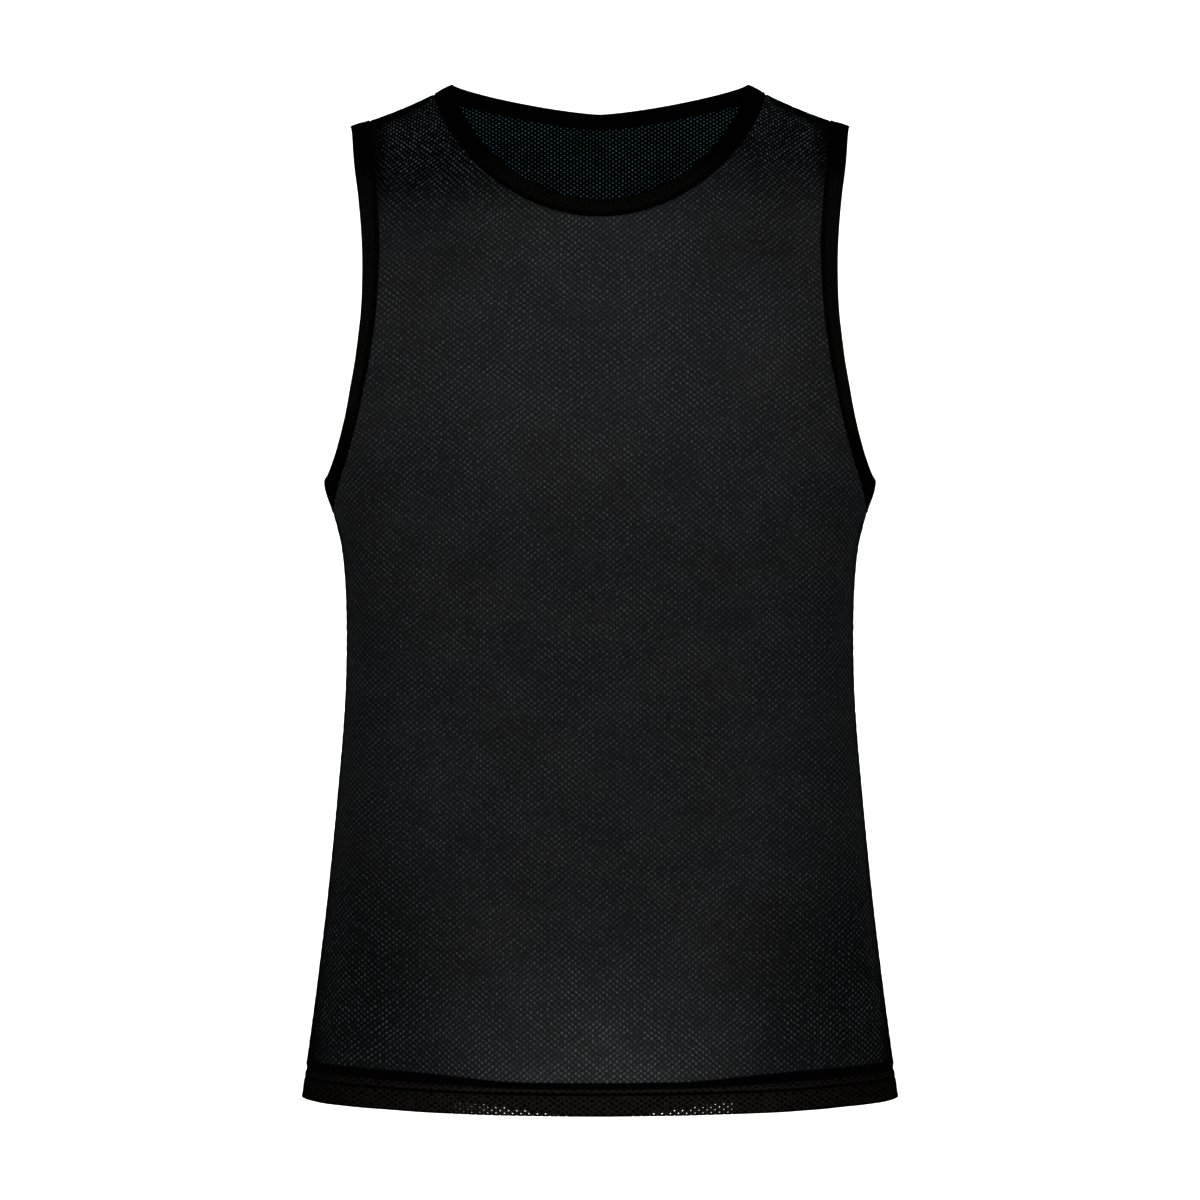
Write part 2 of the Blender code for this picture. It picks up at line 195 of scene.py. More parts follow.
ANGLE_STEP = 0.5
DESCENT_STEP = 0.01
SHARE_STEP = 0.01
INSET_STEPS = 5
SEAM_TURN = 0.95  # share of the armhole's seam where it turns in to the side seam

# ---- how finely each piece is divided
NECK_COLUMNS = 50
SHOULDER_COLUMNS = 20
NECK_SHARE = NECK_COLUMNS / (NECK_COLUMNS + SHOULDER_COLUMNS)
YOKE_ROWS = 90
YOKE_BASE_DROP = 330.0
BODY_ROW_HEIGHT = 3.6
SIDE_SHARE = 0.1  # share of the yoke's side edge that is side seam, and the rest is armhole
RELAX_ROUNDS = 5000
EDGE_WIDTHS = (0.16, 0.24, 0.36, 0.5, 0.7, 0.85)  # of a column or row, from a seam inwards
NECK_STATIONS = 96
ARMHOLE_STATIONS = 108

# ---- the micro mesh: the width and height of its cells by drop
CELLS = {
    FRONT: (
        (-20, 4.2, 3.55),
        (50, 4.25, 3.7),
        (90, 4.6, 4.15),
        (140, 4.85, 4.05),
        (200, 4.95, 3.95),
        (300, 4.65, 3.9),
        (720, 4.65, 3.9),
    ),
    BACK: ((-20, 4.6, 3.45), (120, 4.7, 3.55), (250, 4.7, 3.6), (360, 4.65, 3.9), (720, 4.65, 3.9)),
}
CELL_TOP_DROP = -20.0
CELL_STRETCH = 0.72  # least share of a cell's width on the cloth that it keeps where the cloth turns to the side
FAR_CELLS = (1.09, 1.31, 0.0)  # cells of the far side's mesh to one of the near side's, across and up
FAR_SLANT = (0.05, 0.14, 0.0)
HEM_CELLS = (0.83, 1.08, 0.0)  # the same as for the far side, for the doubled cloth of the hem
ACROSS_TABLE = (181, 160)  # angles and drops at which the cells across are counted
UP_TABLE = (91, 300)  # angles and shares of the way up at which the cells upwards are counted

# Painted light and shade: patches where the mesh's ground and dots are painted lighter or darker than in the middle
# of the body, for light on the chest and the middle of the hem, shade at the sides, in the lower corners and by the
# armholes, and a dark ground with glinting dots over the shoulders. Places are in millimetres across and down, and
# the last two columns are natural logarithms: 0 changes nothing.
PaintedLightPatch = namedtuple("PaintedLightPatch", "across drop across_reach drop_reach ground dots")
PAINTED_LIGHT_AND_SHADE = {
    FRONT: rows_of(
        PaintedLightPatch,
        (-128, 28, 92, 50, -3.3, 1.05),
        (132, 20, 74, 50, -2.0, 1.0),
        (-164, 52, 14, 46, -1.5, -2.4),
        (165, 48, 12, 42, -1.5, -2.4),
        (0, 185, 170, 105, 0.34, 0.36),
        (0, 105, 64, 28, 0.20, 0.34),
        (-112, 128, 30, 20, -0.12, -0.35),
        (108, 130, 32, 18, -0.12, -0.35),
        (0, 700, 94, 86, 0.60, 0.95),
        (-196, 668, 82, 118, -0.95, 0.34),
        (194, 672, 80, 120, -0.95, 0.34),
        (-211, 685, 15, 75, -2.4, -2.4),
        (211, 690, 14, 70, -2.4, -2.4),
        (-150, 590, 38, 62, -0.22, -0.16),
        (146, 596, 36, 60, -0.24, -0.16),
        (-206, 440, 56, 230, -0.62, -0.5),
        (206, 440, 56, 230, -0.62, -0.5),
    ),
    BACK: rows_of(
        PaintedLightPatch,
        (-128, 30, 82, 50, -2.4, 0.30),
        (130, 28, 80, 52, -2.4, 0.30),
        (0, 190, 190, 110, 0.20, 0.12),
        (-10, 700, 90, 70, 0.25, 0.35),
        (-194, 665, 80, 120, -1.0, -0.30),
        (196, 670, 82, 116, -1.0, -0.30),
        (-206, 440, 56, 230, -0.62, -0.5),
        (206, 440, 56, 230, -0.62, -0.5),
    ),
}
PAINTED_LIGHT_EDGE = 1.4  # how sharply a patch of painted light or shade ends, where 1 is the softest

# The hem: height above its folded edge, and how far the cloth stands out there.
HEM_PROFILE = (
    (0.0, -1.15), (0.25, -0.65), (0.7, -0.3), (1.4, -0.06), (2.4, 0.0), (13.4, 0.0), (14.4, -0.3), (15.1, -0.55),
    (15.8, -0.35), (16.3, -0.15), (17.2, -0.35), (18.1, -0.15), (18.9, -0.3), (19.8, -0.55), (21.2, -0.6),
    (22.4, -0.4), (23.8, -0.05), (25.4, 0.05), (28.0, 0.0),
)
HEM_ROWS = sorted({up for up, _ in HEM_PROFILE[:-1]} | {4, 6, 8, 10, 12, 20.5, 23.1, 27, 29.5})
HEM_STITCH_UP = 17.2
HEM_GROOVE = (18.1, 22.9)  # the furrow over the stitches, painted near black as painted shade, lowest and highest
HEM_GROOVE_RISE = 2.2  # how much higher it lies at the sides
HEM_GROOVE_WIDENING = 2.4  # how much taller it is there
HEM_LINE = (14.2, 15.9)  # the thin furrow under them, also painted near black as painted shade
HOLES_UP = 9.0  # up to this height the holes in the front hem's two layers lie in line
HOLES_FADE = 1.5
HOLES_FROM = (14.0, 80.0)  # distances from the centre where they start and where they reach their full height
HOLES_ENDS = (-100.0, 92.0)

FAR_AWAY = 100.0
SEAM_DIP = 0.4
SEAM_DIP_REACH = 1.7
PUCKER = 0.22
PUCKER_REACH = 9.0
PUCKER_START = 3.0
PUCKER_PITCH = 7.6
SECOND_PUCKER = 0.6  # height of a second wave to the first one's
SECOND_PITCH = 1.73
SECOND_TURN = 1.1
DEGREE = 3.0  # millimetres of cloth to a degree, near enough for the puckers

# ---- the bindings and the sewing
# Painted light: how strongly the bindings' loops are painted lighter, by drop: hardly where the cloth turns away
# from the light. The same for the hem's thread, painted lighter by distance from the centre.
NECK_LIGHTS = ((50, 0.0), (62, 0.35), (74, 0.8), (90, 0.8))
ARMHOLE_LIGHTS = ((58, 0.0), (76, 1.0), (225, 1.0), (252, 0.05))
HEM_LIGHTS = ((60, 1.0), (120, 0.7), (170, 0.4), (200, 0.15))

# A binding's section: share of the way from seam to finished edge, and of the thickness, from outside to inside.
BAND_FURROW = (0.165, 0.13)
BAND_CROWN = (0.5, -0.08)
BAND_SECTION = (
    (0.0, 0.40), (0.012, 0.16), (0.045, 0.03), (0.09, 0.02), (0.13, 0.10), BAND_FURROW, (0.2, 0.10), (0.245, 0.01),
    (0.35, -0.05), BAND_CROWN, (0.65, -0.06), (0.8, -0.01), (0.9, 0.06), (0.96, 0.17), (0.99, 0.32), (1.0, 0.50),
    (0.99, 0.68), (0.96, 0.83), (0.9, 0.94), (0.65, 1.00), (0.35, 1.00), (0.1, 0.98), (0.02, 0.90), (0.0, 0.70),
)
BAND_UV_GAP = 1.0

STITCH_RINGS = ((0.0, 0.35), (0.12, 0.85), (0.5, 1.0), (0.88, 0.85), (1.0, 0.35))  # share of length, of radius
STITCH_SIDES = 6
STITCH_PROUD = 0.1
STITCH_SAG = 1.1  # of the thread's radius
FEWEST_STITCHES = 3
CHAIN_PITCH = 5.4
CHAIN_HALF_WIDTH = 0.55
CHAIN_PROUD = 0.25
CHAIN_END_ANGLE = 87.0
CHAIN_STATIONS = 400
CHAIN_WIDEST = 0.36  # share of the pitch where a stitch is widest, and where its legs meet
CHAIN_MEETS = 0.62
CHAIN_SAG = 0.6
CHAIN_THREAD = 0.9  # of the bindings' thread


# ---- the form
def smooth_values(keys, values, at):
    """The values at some keys, on a smooth curve through a table's values."""
    keys = np.asarray(keys, float)
    values = np.asarray(values, float)
    at = np.asarray(at, float)
    last = len(keys) - 1
    low = np.searchsorted(keys[1:last], at)
    ahead = np.minimum(np.arange(last + 1) + 1, last)
    behind = np.maximum(np.arange(last + 1) - 1, 0)
    slopes = (values[ahead] - values[behind]) / (keys[ahead] - keys[behind])
    span = keys[low + 1] - keys[low]
    f = np.clip((at - keys[low]) / span, 0.0, 1.0)
    return (
        (2 * f**3 - 3 * f**2 + 1) * values[low]
        + (f**3 - 2 * f**2 + f) * span * slopes[low]
        + (3 * f**2 - 2 * f**3) * values[low + 1]
        + (f**3 - f**2) * span * slopes[low + 1]
    )


def read_table(table, at):
    """Values between the rows of a table of two columns."""
    return np.interp(at, *zip(*table))


def section_at(drop):
    """The sections at some heights, between the table's rows."""
    keys, *columns = zip(*SECTIONS)
    return Section(drop, *(smooth_values(keys, column, drop) for column in columns))


def spread(half_width, squareness, angle):
    """How far from the centre line places at these angles lie on their sections."""
    sine = np.sin(np.radians(np.minimum(np.abs(angle), 90.0)))
    return half_width * sine ** (2 / np.maximum(squareness, ELLIPSE))


def ridge_drop(angle):
    """How far the shoulder ridge lies below the neck points."""
    out = spread(SECTIONS[0].half_width, SECTIONS[0].squareness, angle) - NECK_HALF_WIDTH
    nape = -NAPE_RISE * (1 - np.exp(np.minimum(out, 0.0) * SHOULDER_SLOPE / NAPE_RISE))
    strap = SHOULDER_SLOPE * out - SHOULDER_SAG * out**2
    return np.where(out < 0, nape, strap)


def drop_at(angle, descent):
    """The drop of a place given by its angle and its descent from the ridge."""
    turn = np.minimum(descent, 1.0) * math.pi / 2
    curve = 1 - np.maximum(np.cos(turn), 0.0) ** (2 / SHOULDER_CURVE_POWER)
    return ridge_drop(angle) + SHOULDER_CURVE_HEIGHT * (curve + np.maximum(descent - 1.0, 0.0))


def descent_at(angle, drop):
    """The descent from the ridge of a place given by its angle and its drop."""
    share = (drop - ridge_drop(angle)) / SHOULDER_CURVE_HEIGHT
    near = np.clip(share, 0.0, 1.0)
    curved = np.arccos((1 - near) ** (SHOULDER_CURVE_POWER / 2)) / (math.pi / 2)
    return np.where(share >= 1, share, curved)


def crease_height(creases, angle, drop):
    """How far the cloth stands out, from the creases near each place."""
    across = angle / 90 * QUARTER_GIRTH
    total = np.zeros(np.broadcast(angle, drop).shape)
    for crease in creases:
        start = (crease.angle_a / 90 * QUARTER_GIRTH, crease.drop_a)
        run = (crease.angle_b / 90 * QUARTER_GIRTH - start[0], crease.drop_b - start[1])
        length_squared = run[0] ** 2 + run[1] ** 2
        along = ((across - start[0]) * run[0] + (drop - start[1]) * run[1]) / length_squared
        along = np.clip(along, 0.0, 1.0)
        distance = np.hypot(across - start[0] - along * run[0], drop - start[1] - along * run[1])
        growth = np.minimum(1.0, CREASE_START + CREASE_GROWTH * along)
        total = total + crease.height * growth * np.exp(-((distance / crease.reach) ** 2))
    return total


def level_on_seams(values, angle, descent):
    """The same depths, but 0 on the seams, which lie in the plane between front and back."""
    return np.where((np.abs(angle) >= 90.0) | (descent <= 0.0), 0.0, values)


def surface(side, angle, descent, fine=True):
    """Points on the outside of the cloth, in millimetres. side is -1 in front and 1 behind."""
    angle, descent = np.broadcast_arrays(np.asarray(angle, float), np.maximum(descent, 0.0))
    drop = drop_at(angle, descent)
    section = section_at(drop)
    depth = section.front_depth if side == FRONT else section.back_depth
    turn = np.radians(np.minimum(np.abs(angle), 90.0))
    sine = np.sin(turn)
    cosine = np.maximum(np.cos(turn), 0.0)
    closing = np.sin(np.minimum(descent, 1.0) * math.pi / 2) ** (2 / SHOULDER_CURVE_POWER)
    creases = CREASES[side] + (FINE_CREASES[side] if fine else ())
    stand = crease_height(creases, angle, drop) * closing * (1 - sine**CREASE_FADE)
    x = spread(section.half_width, section.squareness, angle) + stand * sine
    y = level_on_seams(depth * cosine ** (2 / section.squareness) * closing + stand * cosine, angle, descent)
    return np.stack([np.copysign(x, angle), side * y, ORIGIN_DROP - drop], axis=-1)


def unit(vectors):
    """Vectors brought to length 1."""
    return vectors / np.maximum(np.linalg.norm(vectors, axis=-1, keepdims=True), 1e-12)


def outward(side, angle, descent):
    """The cloth's outward direction. On the seams it lies in the plane between front and back."""
    angle, descent = np.broadcast_arrays(np.asarray(angle, float), np.asarray(descent, float))
    step = np.where(angle > 90 - ANGLE_STEP, -ANGLE_STEP, ANGLE_STEP)
    here = surface(side, angle, descent)
    across = (surface(side, angle + step, descent) - here) * step[..., None]
    down = surface(side, angle, descent + DESCENT_STEP) - here
    normal = np.cross(across, down) * side
    normal[..., 1] = level_on_seams(normal[..., 1], angle, descent)
    return unit(normal)


def neck_place(side, turn, inset):
    """Places on a neck curve: turn runs from -90 to 90 degrees, inset is the distance from the finished edge."""
    turn, inset = np.broadcast_arrays(np.asarray(turn, float), np.asarray(inset, float))
    half_width = NECK_HALF_WIDTH + inset
    x = half_width * np.sin(np.radians(np.abs(turn)))
    end_drop = SHOULDER_SLOPE * inset - SHOULDER_SAG * inset**2
    if side == FRONT:
        depth = FRONT_NECK_DROP + FRONT_BAND_FALL * inset
        cosine = np.maximum(np.cos(np.radians(turn)), 0.0)
        drop = end_drop + (depth - end_drop) * cosine**FRONT_SCOOP_POWER
    else:
        depth = BACK_NECK_DROP + BACK_BAND_FALL * inset
        drop = depth + (end_drop - depth) * (x / half_width) ** BACK_SCOOP_POWER
    section = section_at(drop)
    sine = np.minimum(x / section.half_width, 1.0) ** (np.maximum(section.squareness, ELLIPSE) / 2)
    angle = np.degrees(np.arcsin(sine))
    descent = np.where(np.abs(turn) >= 90, 0.0, descent_at(angle, drop))
    return np.copysign(angle, turn), descent


def armhole_edge(share):
    """Places on the +X armhole's finished edge: share runs from 0 at the shoulder to 1 at the side seam."""
    descents = descent_at(ARMHOLE_ANGLES, ARMHOLE_DROPS)
    descents[0] = 0.0
    angle = np.minimum(smooth_values(ARMHOLE_SHARES, ARMHOLE_ANGLES, share), 90.0)
    return angle, np.maximum(smooth_values(ARMHOLE_SHARES, descents, share), 0.0)


def plain_surface(angle, descent):
    """The front without its finer creases, which the armhole's width is measured on."""
    return surface(FRONT, angle, descent, fine=False)


def walked_seam(share):
    """Places a band's width from the armhole's edge, square to it along the cloth."""
    share = np.asarray(share, float)
    near = plain_surface(*armhole_edge(np.maximum(share - SHARE_STEP, 0.0)))
    far = plain_surface(*armhole_edge(np.minimum(share + SHARE_STEP, 1.0)))
    along = far - near
    angle, descent = armhole_edge(share)
    step = smooth_values(ARMHOLE_SHARES, ARMHOLE_WIDTHS, share) / INSET_STEPS
    for _ in range(INSET_STEPS):
        here = plain_surface(angle, descent)
        by_angle = (here - plain_surface(angle - ANGLE_STEP, descent)) / ANGLE_STEP
        by_descent = (plain_surface(angle, descent + DESCENT_STEP) - here) / DESCENT_STEP
        turn_angle = -np.sum(by_descent * along, axis=-1)
        turn_descent = np.sum(by_angle * along, axis=-1)
        size = np.linalg.norm(turn_angle[..., None] * by_angle + turn_descent[..., None] * by_descent, axis=-1)
        angle = np.minimum(angle + turn_angle * step / size, 90.0)
        descent = np.maximum(descent + turn_descent * step / size, 0.0)
    return np.where(share >= 1, 90.0, angle), np.where(share <= 0, 0.0, descent)


def armhole_seam(share):
    """Places on the seam of the +X armhole's binding. Its last stretch runs straight in to the side seam."""
    share = np.asarray(share, float)
    angle, descent = walked_seam(np.minimum(share, SEAM_TURN))
    end_angle, end_descent = walked_seam(1.0)
    past = np.maximum(share - SEAM_TURN, 0.0) / (1 - SEAM_TURN)
    return angle + (end_angle - angle) * past, descent + (end_descent - descent) * past


# ---- the panels' net of places
def uneven_shares(count):
    """Shares from 0 to 1, evenly apart but closer and closer towards 1."""
    widths = np.ones(count)
    widths[count - len(EDGE_WIDTHS):] = EDGE_WIDTHS[::-1]
    return np.concatenate([[0.0], np.cumsum(widths) / widths.sum()])


def yoke_top(side, share):
    """A panel's top edge from the centre to the arm: along the neck seam, then along the shoulder ridge."""
    turn = 90 * np.minimum(share / NECK_SHARE, 1.0)
    neck_angle, neck_descent = neck_place(side, turn, NECK_BAND_WIDTH)
    start = float(neck_place(side, 90, NECK_BAND_WIDTH)[0])
    end = float(armhole_seam(0.0)[0])
    past = np.maximum(share - NECK_SHARE, 0.0) / (1 - NECK_SHARE)
    on_strap = share > NECK_SHARE
    angle = np.where(on_strap, start + (end - start) * past, neck_angle)
    return angle, np.where(on_strap, 0.0, neck_descent)


def yoke_side(share):
    """A panel's side edge from the yoke's base up: the side seam, then the armhole seam."""
    underarm = float(armhole_seam(1.0)[1])
    base = float(descent_at(90.0, YOKE_BASE_DROP))
    on_side = share < SIDE_SHARE
    arm_angle, arm_descent = armhole_seam(1 - np.maximum(share - SIDE_SHARE, 0.0) / (1 - SIDE_SHARE))
    angle = np.where(on_side, 90.0, arm_angle)
    return angle, np.where(on_side, base + (underarm - base) * share / SIDE_SHARE, arm_descent)


def yoke_net(side, column_shares):
    """Places over one half of the yoke, rows upwards. The edges are fixed and the rest is evened out."""
    row_shares = uneven_shares(YOKE_ROWS)
    base_angle = 90 * column_shares
    base = np.stack([base_angle, descent_at(base_angle, YOKE_BASE_DROP)])
    top = np.stack(yoke_top(side, column_shares))
    net = base[:, None, :] * (1 - row_shares)[None, :, None] + top[:, None, :] * row_shares[None, :, None]
    net[:, 1:-1, -1] = np.stack(yoke_side(row_shares))[:, 1:-1]
    left = column_shares[1:-1] - column_shares[:-2]
    right = column_shares[2:] - column_shares[1:-1]
    below = (row_shares[1:-1] - row_shares[:-2])[:, None]
    above = (row_shares[2:] - row_shares[1:-1])[:, None]
    by_columns = 1 / (left * right)
    by_rows = 1 / (below * above)
    total = by_columns + by_rows
    for _ in range(RELAX_ROUNDS):
        sideways = (net[:, 1:-1, :-2] * right + net[:, 1:-1, 2:] * left) / (left + right)
        upright = (net[:, :-2, 1:-1] * above + net[:, 2:, 1:-1] * below) / (below + above)
        centre = (net[1, :-2, 0] * above[:, 0] + net[1, 2:, 0] * below[:, 0]) / (below + above)[:, 0]
        net[:, 1:-1, 1:-1] = (sideways * by_columns + upright * by_rows) / total
        net[1, 1:-1, 0] = centre
    return net


def panel_net(side):
    """Angles and descents over a whole panel, rows from the hem to the top."""
    column_shares = uneven_shares(NECK_COLUMNS + SHOULDER_COLUMNS)
    yoke = yoke_net(side, column_shares)
    hem_ups = np.array(HEM_ROWS)
    rise = LENGTH - YOKE_BASE_DROP - hem_ups[-1]
    count = round(rise / BODY_ROW_HEIGHT)
    ups = np.concatenate([hem_ups, hem_ups[-1] + rise * np.arange(1, count) / count])
    angle = np.broadcast_to(90 * column_shares, (len(ups), len(column_shares)))
    descent = np.concatenate([descent_at(angle, (LENGTH - ups)[:, None]), yoke[1]])
    angle = np.concatenate([angle, yoke[0]])
    return (
        np.concatenate([-angle[:, :0:-1], angle], axis=1),
        np.concatenate([descent[:, :0:-1], descent], axis=1),
    )


# ---- grain, for the knit's pattern
def between(rows, columns, values, row, column):
    """Values read from a table between its rows and columns."""
    r = np.clip(np.interp(row, rows, np.arange(len(rows))), 0, len(rows) - 1.001)
    c = np.clip(np.interp(column, columns, np.arange(len(columns))), 0, len(columns) - 1.001)
    r0, c0 = r.astype(int), c.astype(int)
    fr, fc = r - r0, c - c0
    return (
        values[r0, c0] * (1 - fr) * (1 - fc)
        + values[r0 + 1, c0] * fr * (1 - fc)
        + values[r0, c0 + 1] * (1 - fr) * fc
        + values[r0 + 1, c0 + 1] * fr * fc
    )


def cell_size(side, drop):
    """The width and height of a cell of the mesh, which is stretched over the chest."""
    drops, widths, heights = zip(*CELLS[side])
    return smooth_values(drops, widths, drop), smooth_values(drops, heights, drop)


def grain_across(side, angle, drop):
    """How many cells of the mesh lie between the centre line and each place."""
    angles = np.linspace(0, 90, ACROSS_TABLE[0])
    drops = np.linspace(CELL_TOP_DROP, LENGTH, ACROSS_TABLE[1])
    level = surface(side, angles[:, None], descent_at(angles[:, None], drops[None, :]), fine=False)[..., :2]
    moves = np.diff(level, axis=0)
    steps = np.maximum(np.abs(moves[..., 0]), CELL_STRETCH * np.linalg.norm(moves, axis=-1))
    arcs = np.concatenate([np.zeros((1, len(drops))), np.cumsum(steps, axis=0)])
    counts = arcs / cell_size(side, drops)[0]
    return np.copysign(between(angles, drops, counts, np.abs(angle), drop), angle)


def grain_up(side, angle, descent):
    """How many cells of the mesh lie between the hem and each place, along the cloth."""
    angles = np.linspace(0, 90, UP_TABLE[0])
    shares = np.linspace(0, 1, UP_TABLE[1])
    foot = descent_at(angles, LENGTH)
    line = surface(side, angles[:, None], foot[:, None] * (1 - shares[None, :]), fine=False)
    steps = np.linalg.norm(np.diff(line, axis=1), axis=-1)
    heights = cell_size(side, ORIGIN_DROP - line[:, 1:, 2])[1]
    counts = np.concatenate([np.zeros((len(angles), 1)), np.cumsum(steps / heights, axis=1)], axis=1)
    share = 1 - descent / descent_at(np.abs(angle), LENGTH)
    return between(angles, shares, counts, np.abs(angle), share)


def sheer_at(across, up):
    """Where one sees right through the doubled hem of the front: none at the centre and more towards its ends."""
    rise = np.clip((np.abs(across) - HOLES_FROM[0]) / (HOLES_FROM[1] - HOLES_FROM[0]), 0.0, 1.0)
    inside = (across > HOLES_ENDS[0]) & (across < HOLES_ENDS[1])
    return np.clip((HOLES_UP * rise - up) / HOLES_FADE, 0.0, 1.0) * inside


def painted_light_and_shade_at(lit_patches, across, drop):
    """How much lighter or darker the ground and the dots are painted at each place, as two factors: painted light
    and shade.
    """
    ground = np.zeros(np.shape(across))
    dots = np.zeros(np.shape(across))
    for lit_patch in lit_patches:
        distance = ((across - lit_patch.across) / lit_patch.across_reach) ** 2 + ((drop - lit_patch.drop) / lit_patch.drop_reach) ** 2
        weight = np.exp(-(distance**PAINTED_LIGHT_EDGE))
        ground += lit_patch.ground * weight
        dots += lit_patch.dots * weight
    return np.exp(ground), np.exp(dots)


# ---- making meshes
def running_length(points, axis):
    """The distance along a net of points from its first row or column."""
    steps = np.linalg.norm(np.diff(points, axis=axis), axis=-1)
    first = np.zeros_like(np.take(steps, [0], axis=axis))
    return np.concatenate([first, np.cumsum(steps, axis=axis)], axis=axis)


def closed(points):
    """A line of points that ends where it starts."""
    return np.concatenate([points, points[:1]])


def add_object(name, data):
    """A new object in the scene."""
    added = bpy.data.objects.new(name, data)
    bpy.context.scene.collection.objects.link(added)
    return added


def make_object(name, mesh, *materials):
    """An object that rides with the bib."""
    for material in materials:
        mesh.materials.append(material)
    piece = add_object(name, mesh)
    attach(piece, "root")
    return piece


def net_faces(rows, columns, close_rows=False, close_columns=False):
    """Faces between the points of a net, numbered row by row."""
    r = np.arange(rows if close_rows else rows - 1)
    c = np.arange(columns if close_columns else columns - 1)
    r, c = np.meshgrid(r, c, indexing="ij")
    after_r = (r + 1) % rows
    after_c = (c + 1) % columns
    corners = [r * columns + c, r * columns + after_c, after_r * columns + after_c, after_r * columns + c]
    return np.stack(corners, axis=-1).reshape(-1, 4)


def mesh_from(name, points, faces):
    """A smooth mesh from points in millimetres and four-cornered faces."""
    mesh = bpy.data.meshes.new(name)
    mesh.vertices.add(len(points))
    mesh.vertices.foreach_set("co", (np.asarray(points, np.float32) * MM).ravel())
    mesh.loops.add(faces.size)
    mesh.loops.foreach_set("vertex_index", faces.ravel().astype(np.int32))
    mesh.polygons.add(len(faces))
    mesh.polygons.foreach_set("loop_start", np.arange(0, faces.size, 4, dtype=np.int32))
    mesh.polygons.foreach_set("loop_total", np.full(len(faces), 4, np.int32))
    mesh.update(calc_edges=True)
    mesh.validate()
    mesh.shade_smooth()
    return mesh


def add_uv(mesh, name, u, v):
    """A UV map from one pair of numbers at each face corner."""
    layer = mesh.uv_layers.new(name=name)
    layer.data.foreach_set("uv", np.stack([u, v], axis=-1).astype(np.float32).ravel())


def add_value(mesh, name, values):
    """A number at each point, which the materials read by name."""
    layer = mesh.attributes.new(name, "FLOAT", "POINT")
    layer.data.foreach_set("value", np.asarray(values, np.float32))


def seam_stand(from_top, from_side, angle, up):
    """How far the cloth stands out near the seams: a dip at each, and puckers that die away from it."""
    distance = np.minimum(from_top, from_side)
    dip = -SEAM_DIP * np.exp(-((distance / SEAM_DIP_REACH) ** 2))
    turn = 2 * np.pi * np.where(from_top < from_side, angle * DEGREE, up)
    wave = np.sin(turn / PUCKER_PITCH) + SECOND_PUCKER * np.sin(turn / (PUCKER_PITCH * SECOND_PITCH) + SECOND_TURN)
    fade = np.exp(-distance / PUCKER_REACH) * (1 - np.exp(-((distance / PUCKER_START) ** 2)))
    return dip + PUCKER * wave * fade


def shell_faces(rows, columns, mirrored):
    """Faces of a net's outer sheet, its inner sheet and the walls round its rim."""
    outer = net_faces(rows, columns)
    offset = rows * columns
    inner = outer[:, ::-1] + offset
    index = np.arange(offset).reshape(rows, columns)
    rim = np.concatenate([index[0], index[1:, -1], index[-1, -2::-1], index[-2:0:-1, 0]])
    following = np.roll(rim, -1)
    walls = np.stack([following, rim, rim + offset, following + offset], axis=-1)
    return [part[:, ::-1] if mirrored else part for part in (outer, inner, walls)]


def make_panel(name, side, materials):
    """One panel of micro mesh, as a closed thin shell. The first material is the outside, the second the inside."""
    angle, descent = panel_net(side)
    drop = drop_at(angle, descent)
    up = LENGTH - drop
    rows, columns = angle.shape
    half = columns // 2
    plain = surface(side, angle, descent)
    normals = outward(side, angle, descent)
    from_right = running_length(plain[:, ::-1], 1)[:, ::-1]
    from_side = np.where(np.arange(columns) >= half, from_right, running_length(plain, 1))
    from_top = running_length(plain[::-1], 0)[::-1]
    stand = seam_stand(from_top, from_side, angle, up) + read_table(HEM_PROFILE, up)
    wall = read_table(((0, 2 * WALL), (HEM_HEIGHT, 2 * WALL), (HEM_HEIGHT + HEM_STEP, WALL)), up)
    edge_lift = EDGE_LIFT * WALL * np.exp(-((up / EDGE_REACH) ** 2))
    outer = plain + stand[..., None] * normals
    inner = plain - wall[..., None] * normals + edge_lift[..., None] * normals
    parts = shell_faces(rows, columns, side == BACK)
    faces = np.concatenate(parts)
    mesh = mesh_from(name, np.concatenate([outer.reshape(-1, 3), inner.reshape(-1, 3)]), faces)
    mesh.polygons.foreach_set("material_index", np.repeat([0, 1, 0], [len(part) for part in parts]))
    across = np.tile(grain_across(side, angle, drop).ravel(), 2)
    upwards = np.tile(grain_up(side, angle, descent).ravel(), 2)
    add_uv(mesh, "cells", across[faces.ravel()], upwards[faces.ravel()])
    share = uneven_shares(half)
    on_strap = np.concatenate([share[:0:-1], share]) > NECK_SHARE - 1 / half
    on_flank = np.arange(rows)[:, None] < rows - YOKE_ROWS * (1 - SIDE_SHARE)
    # Painted light and shade for the ground and the dots, by place on the panel.
    ground, dots = painted_light_and_shade_at(PAINTED_LIGHT_AND_SHADE[side], plain[..., 0], drop)
    values = {
        "up_from_hem": up,
        # from_ridge and from_flank place the near black strips of seam cloth and painted shade along the shoulder
        # ridge and up the sides.
        "from_ridge": np.where(on_strap, from_top, FAR_AWAY),
        "from_flank": np.where(on_flank, from_side, FAR_AWAY),
        "from_seam": np.minimum(from_top, from_side),
        "round": np.abs(angle),
        "painted_light_on_ground": ground,
        "painted_light_on_dots": dots,
        "sheer": sheer_at(plain[..., 0], up) if side == FRONT else 0.0,
    }
    for key, value in values.items():
        add_value(mesh, key, np.tile(np.broadcast_to(value, (rows, columns)).ravel(), 2))
    return make_object(name, mesh, *materials)


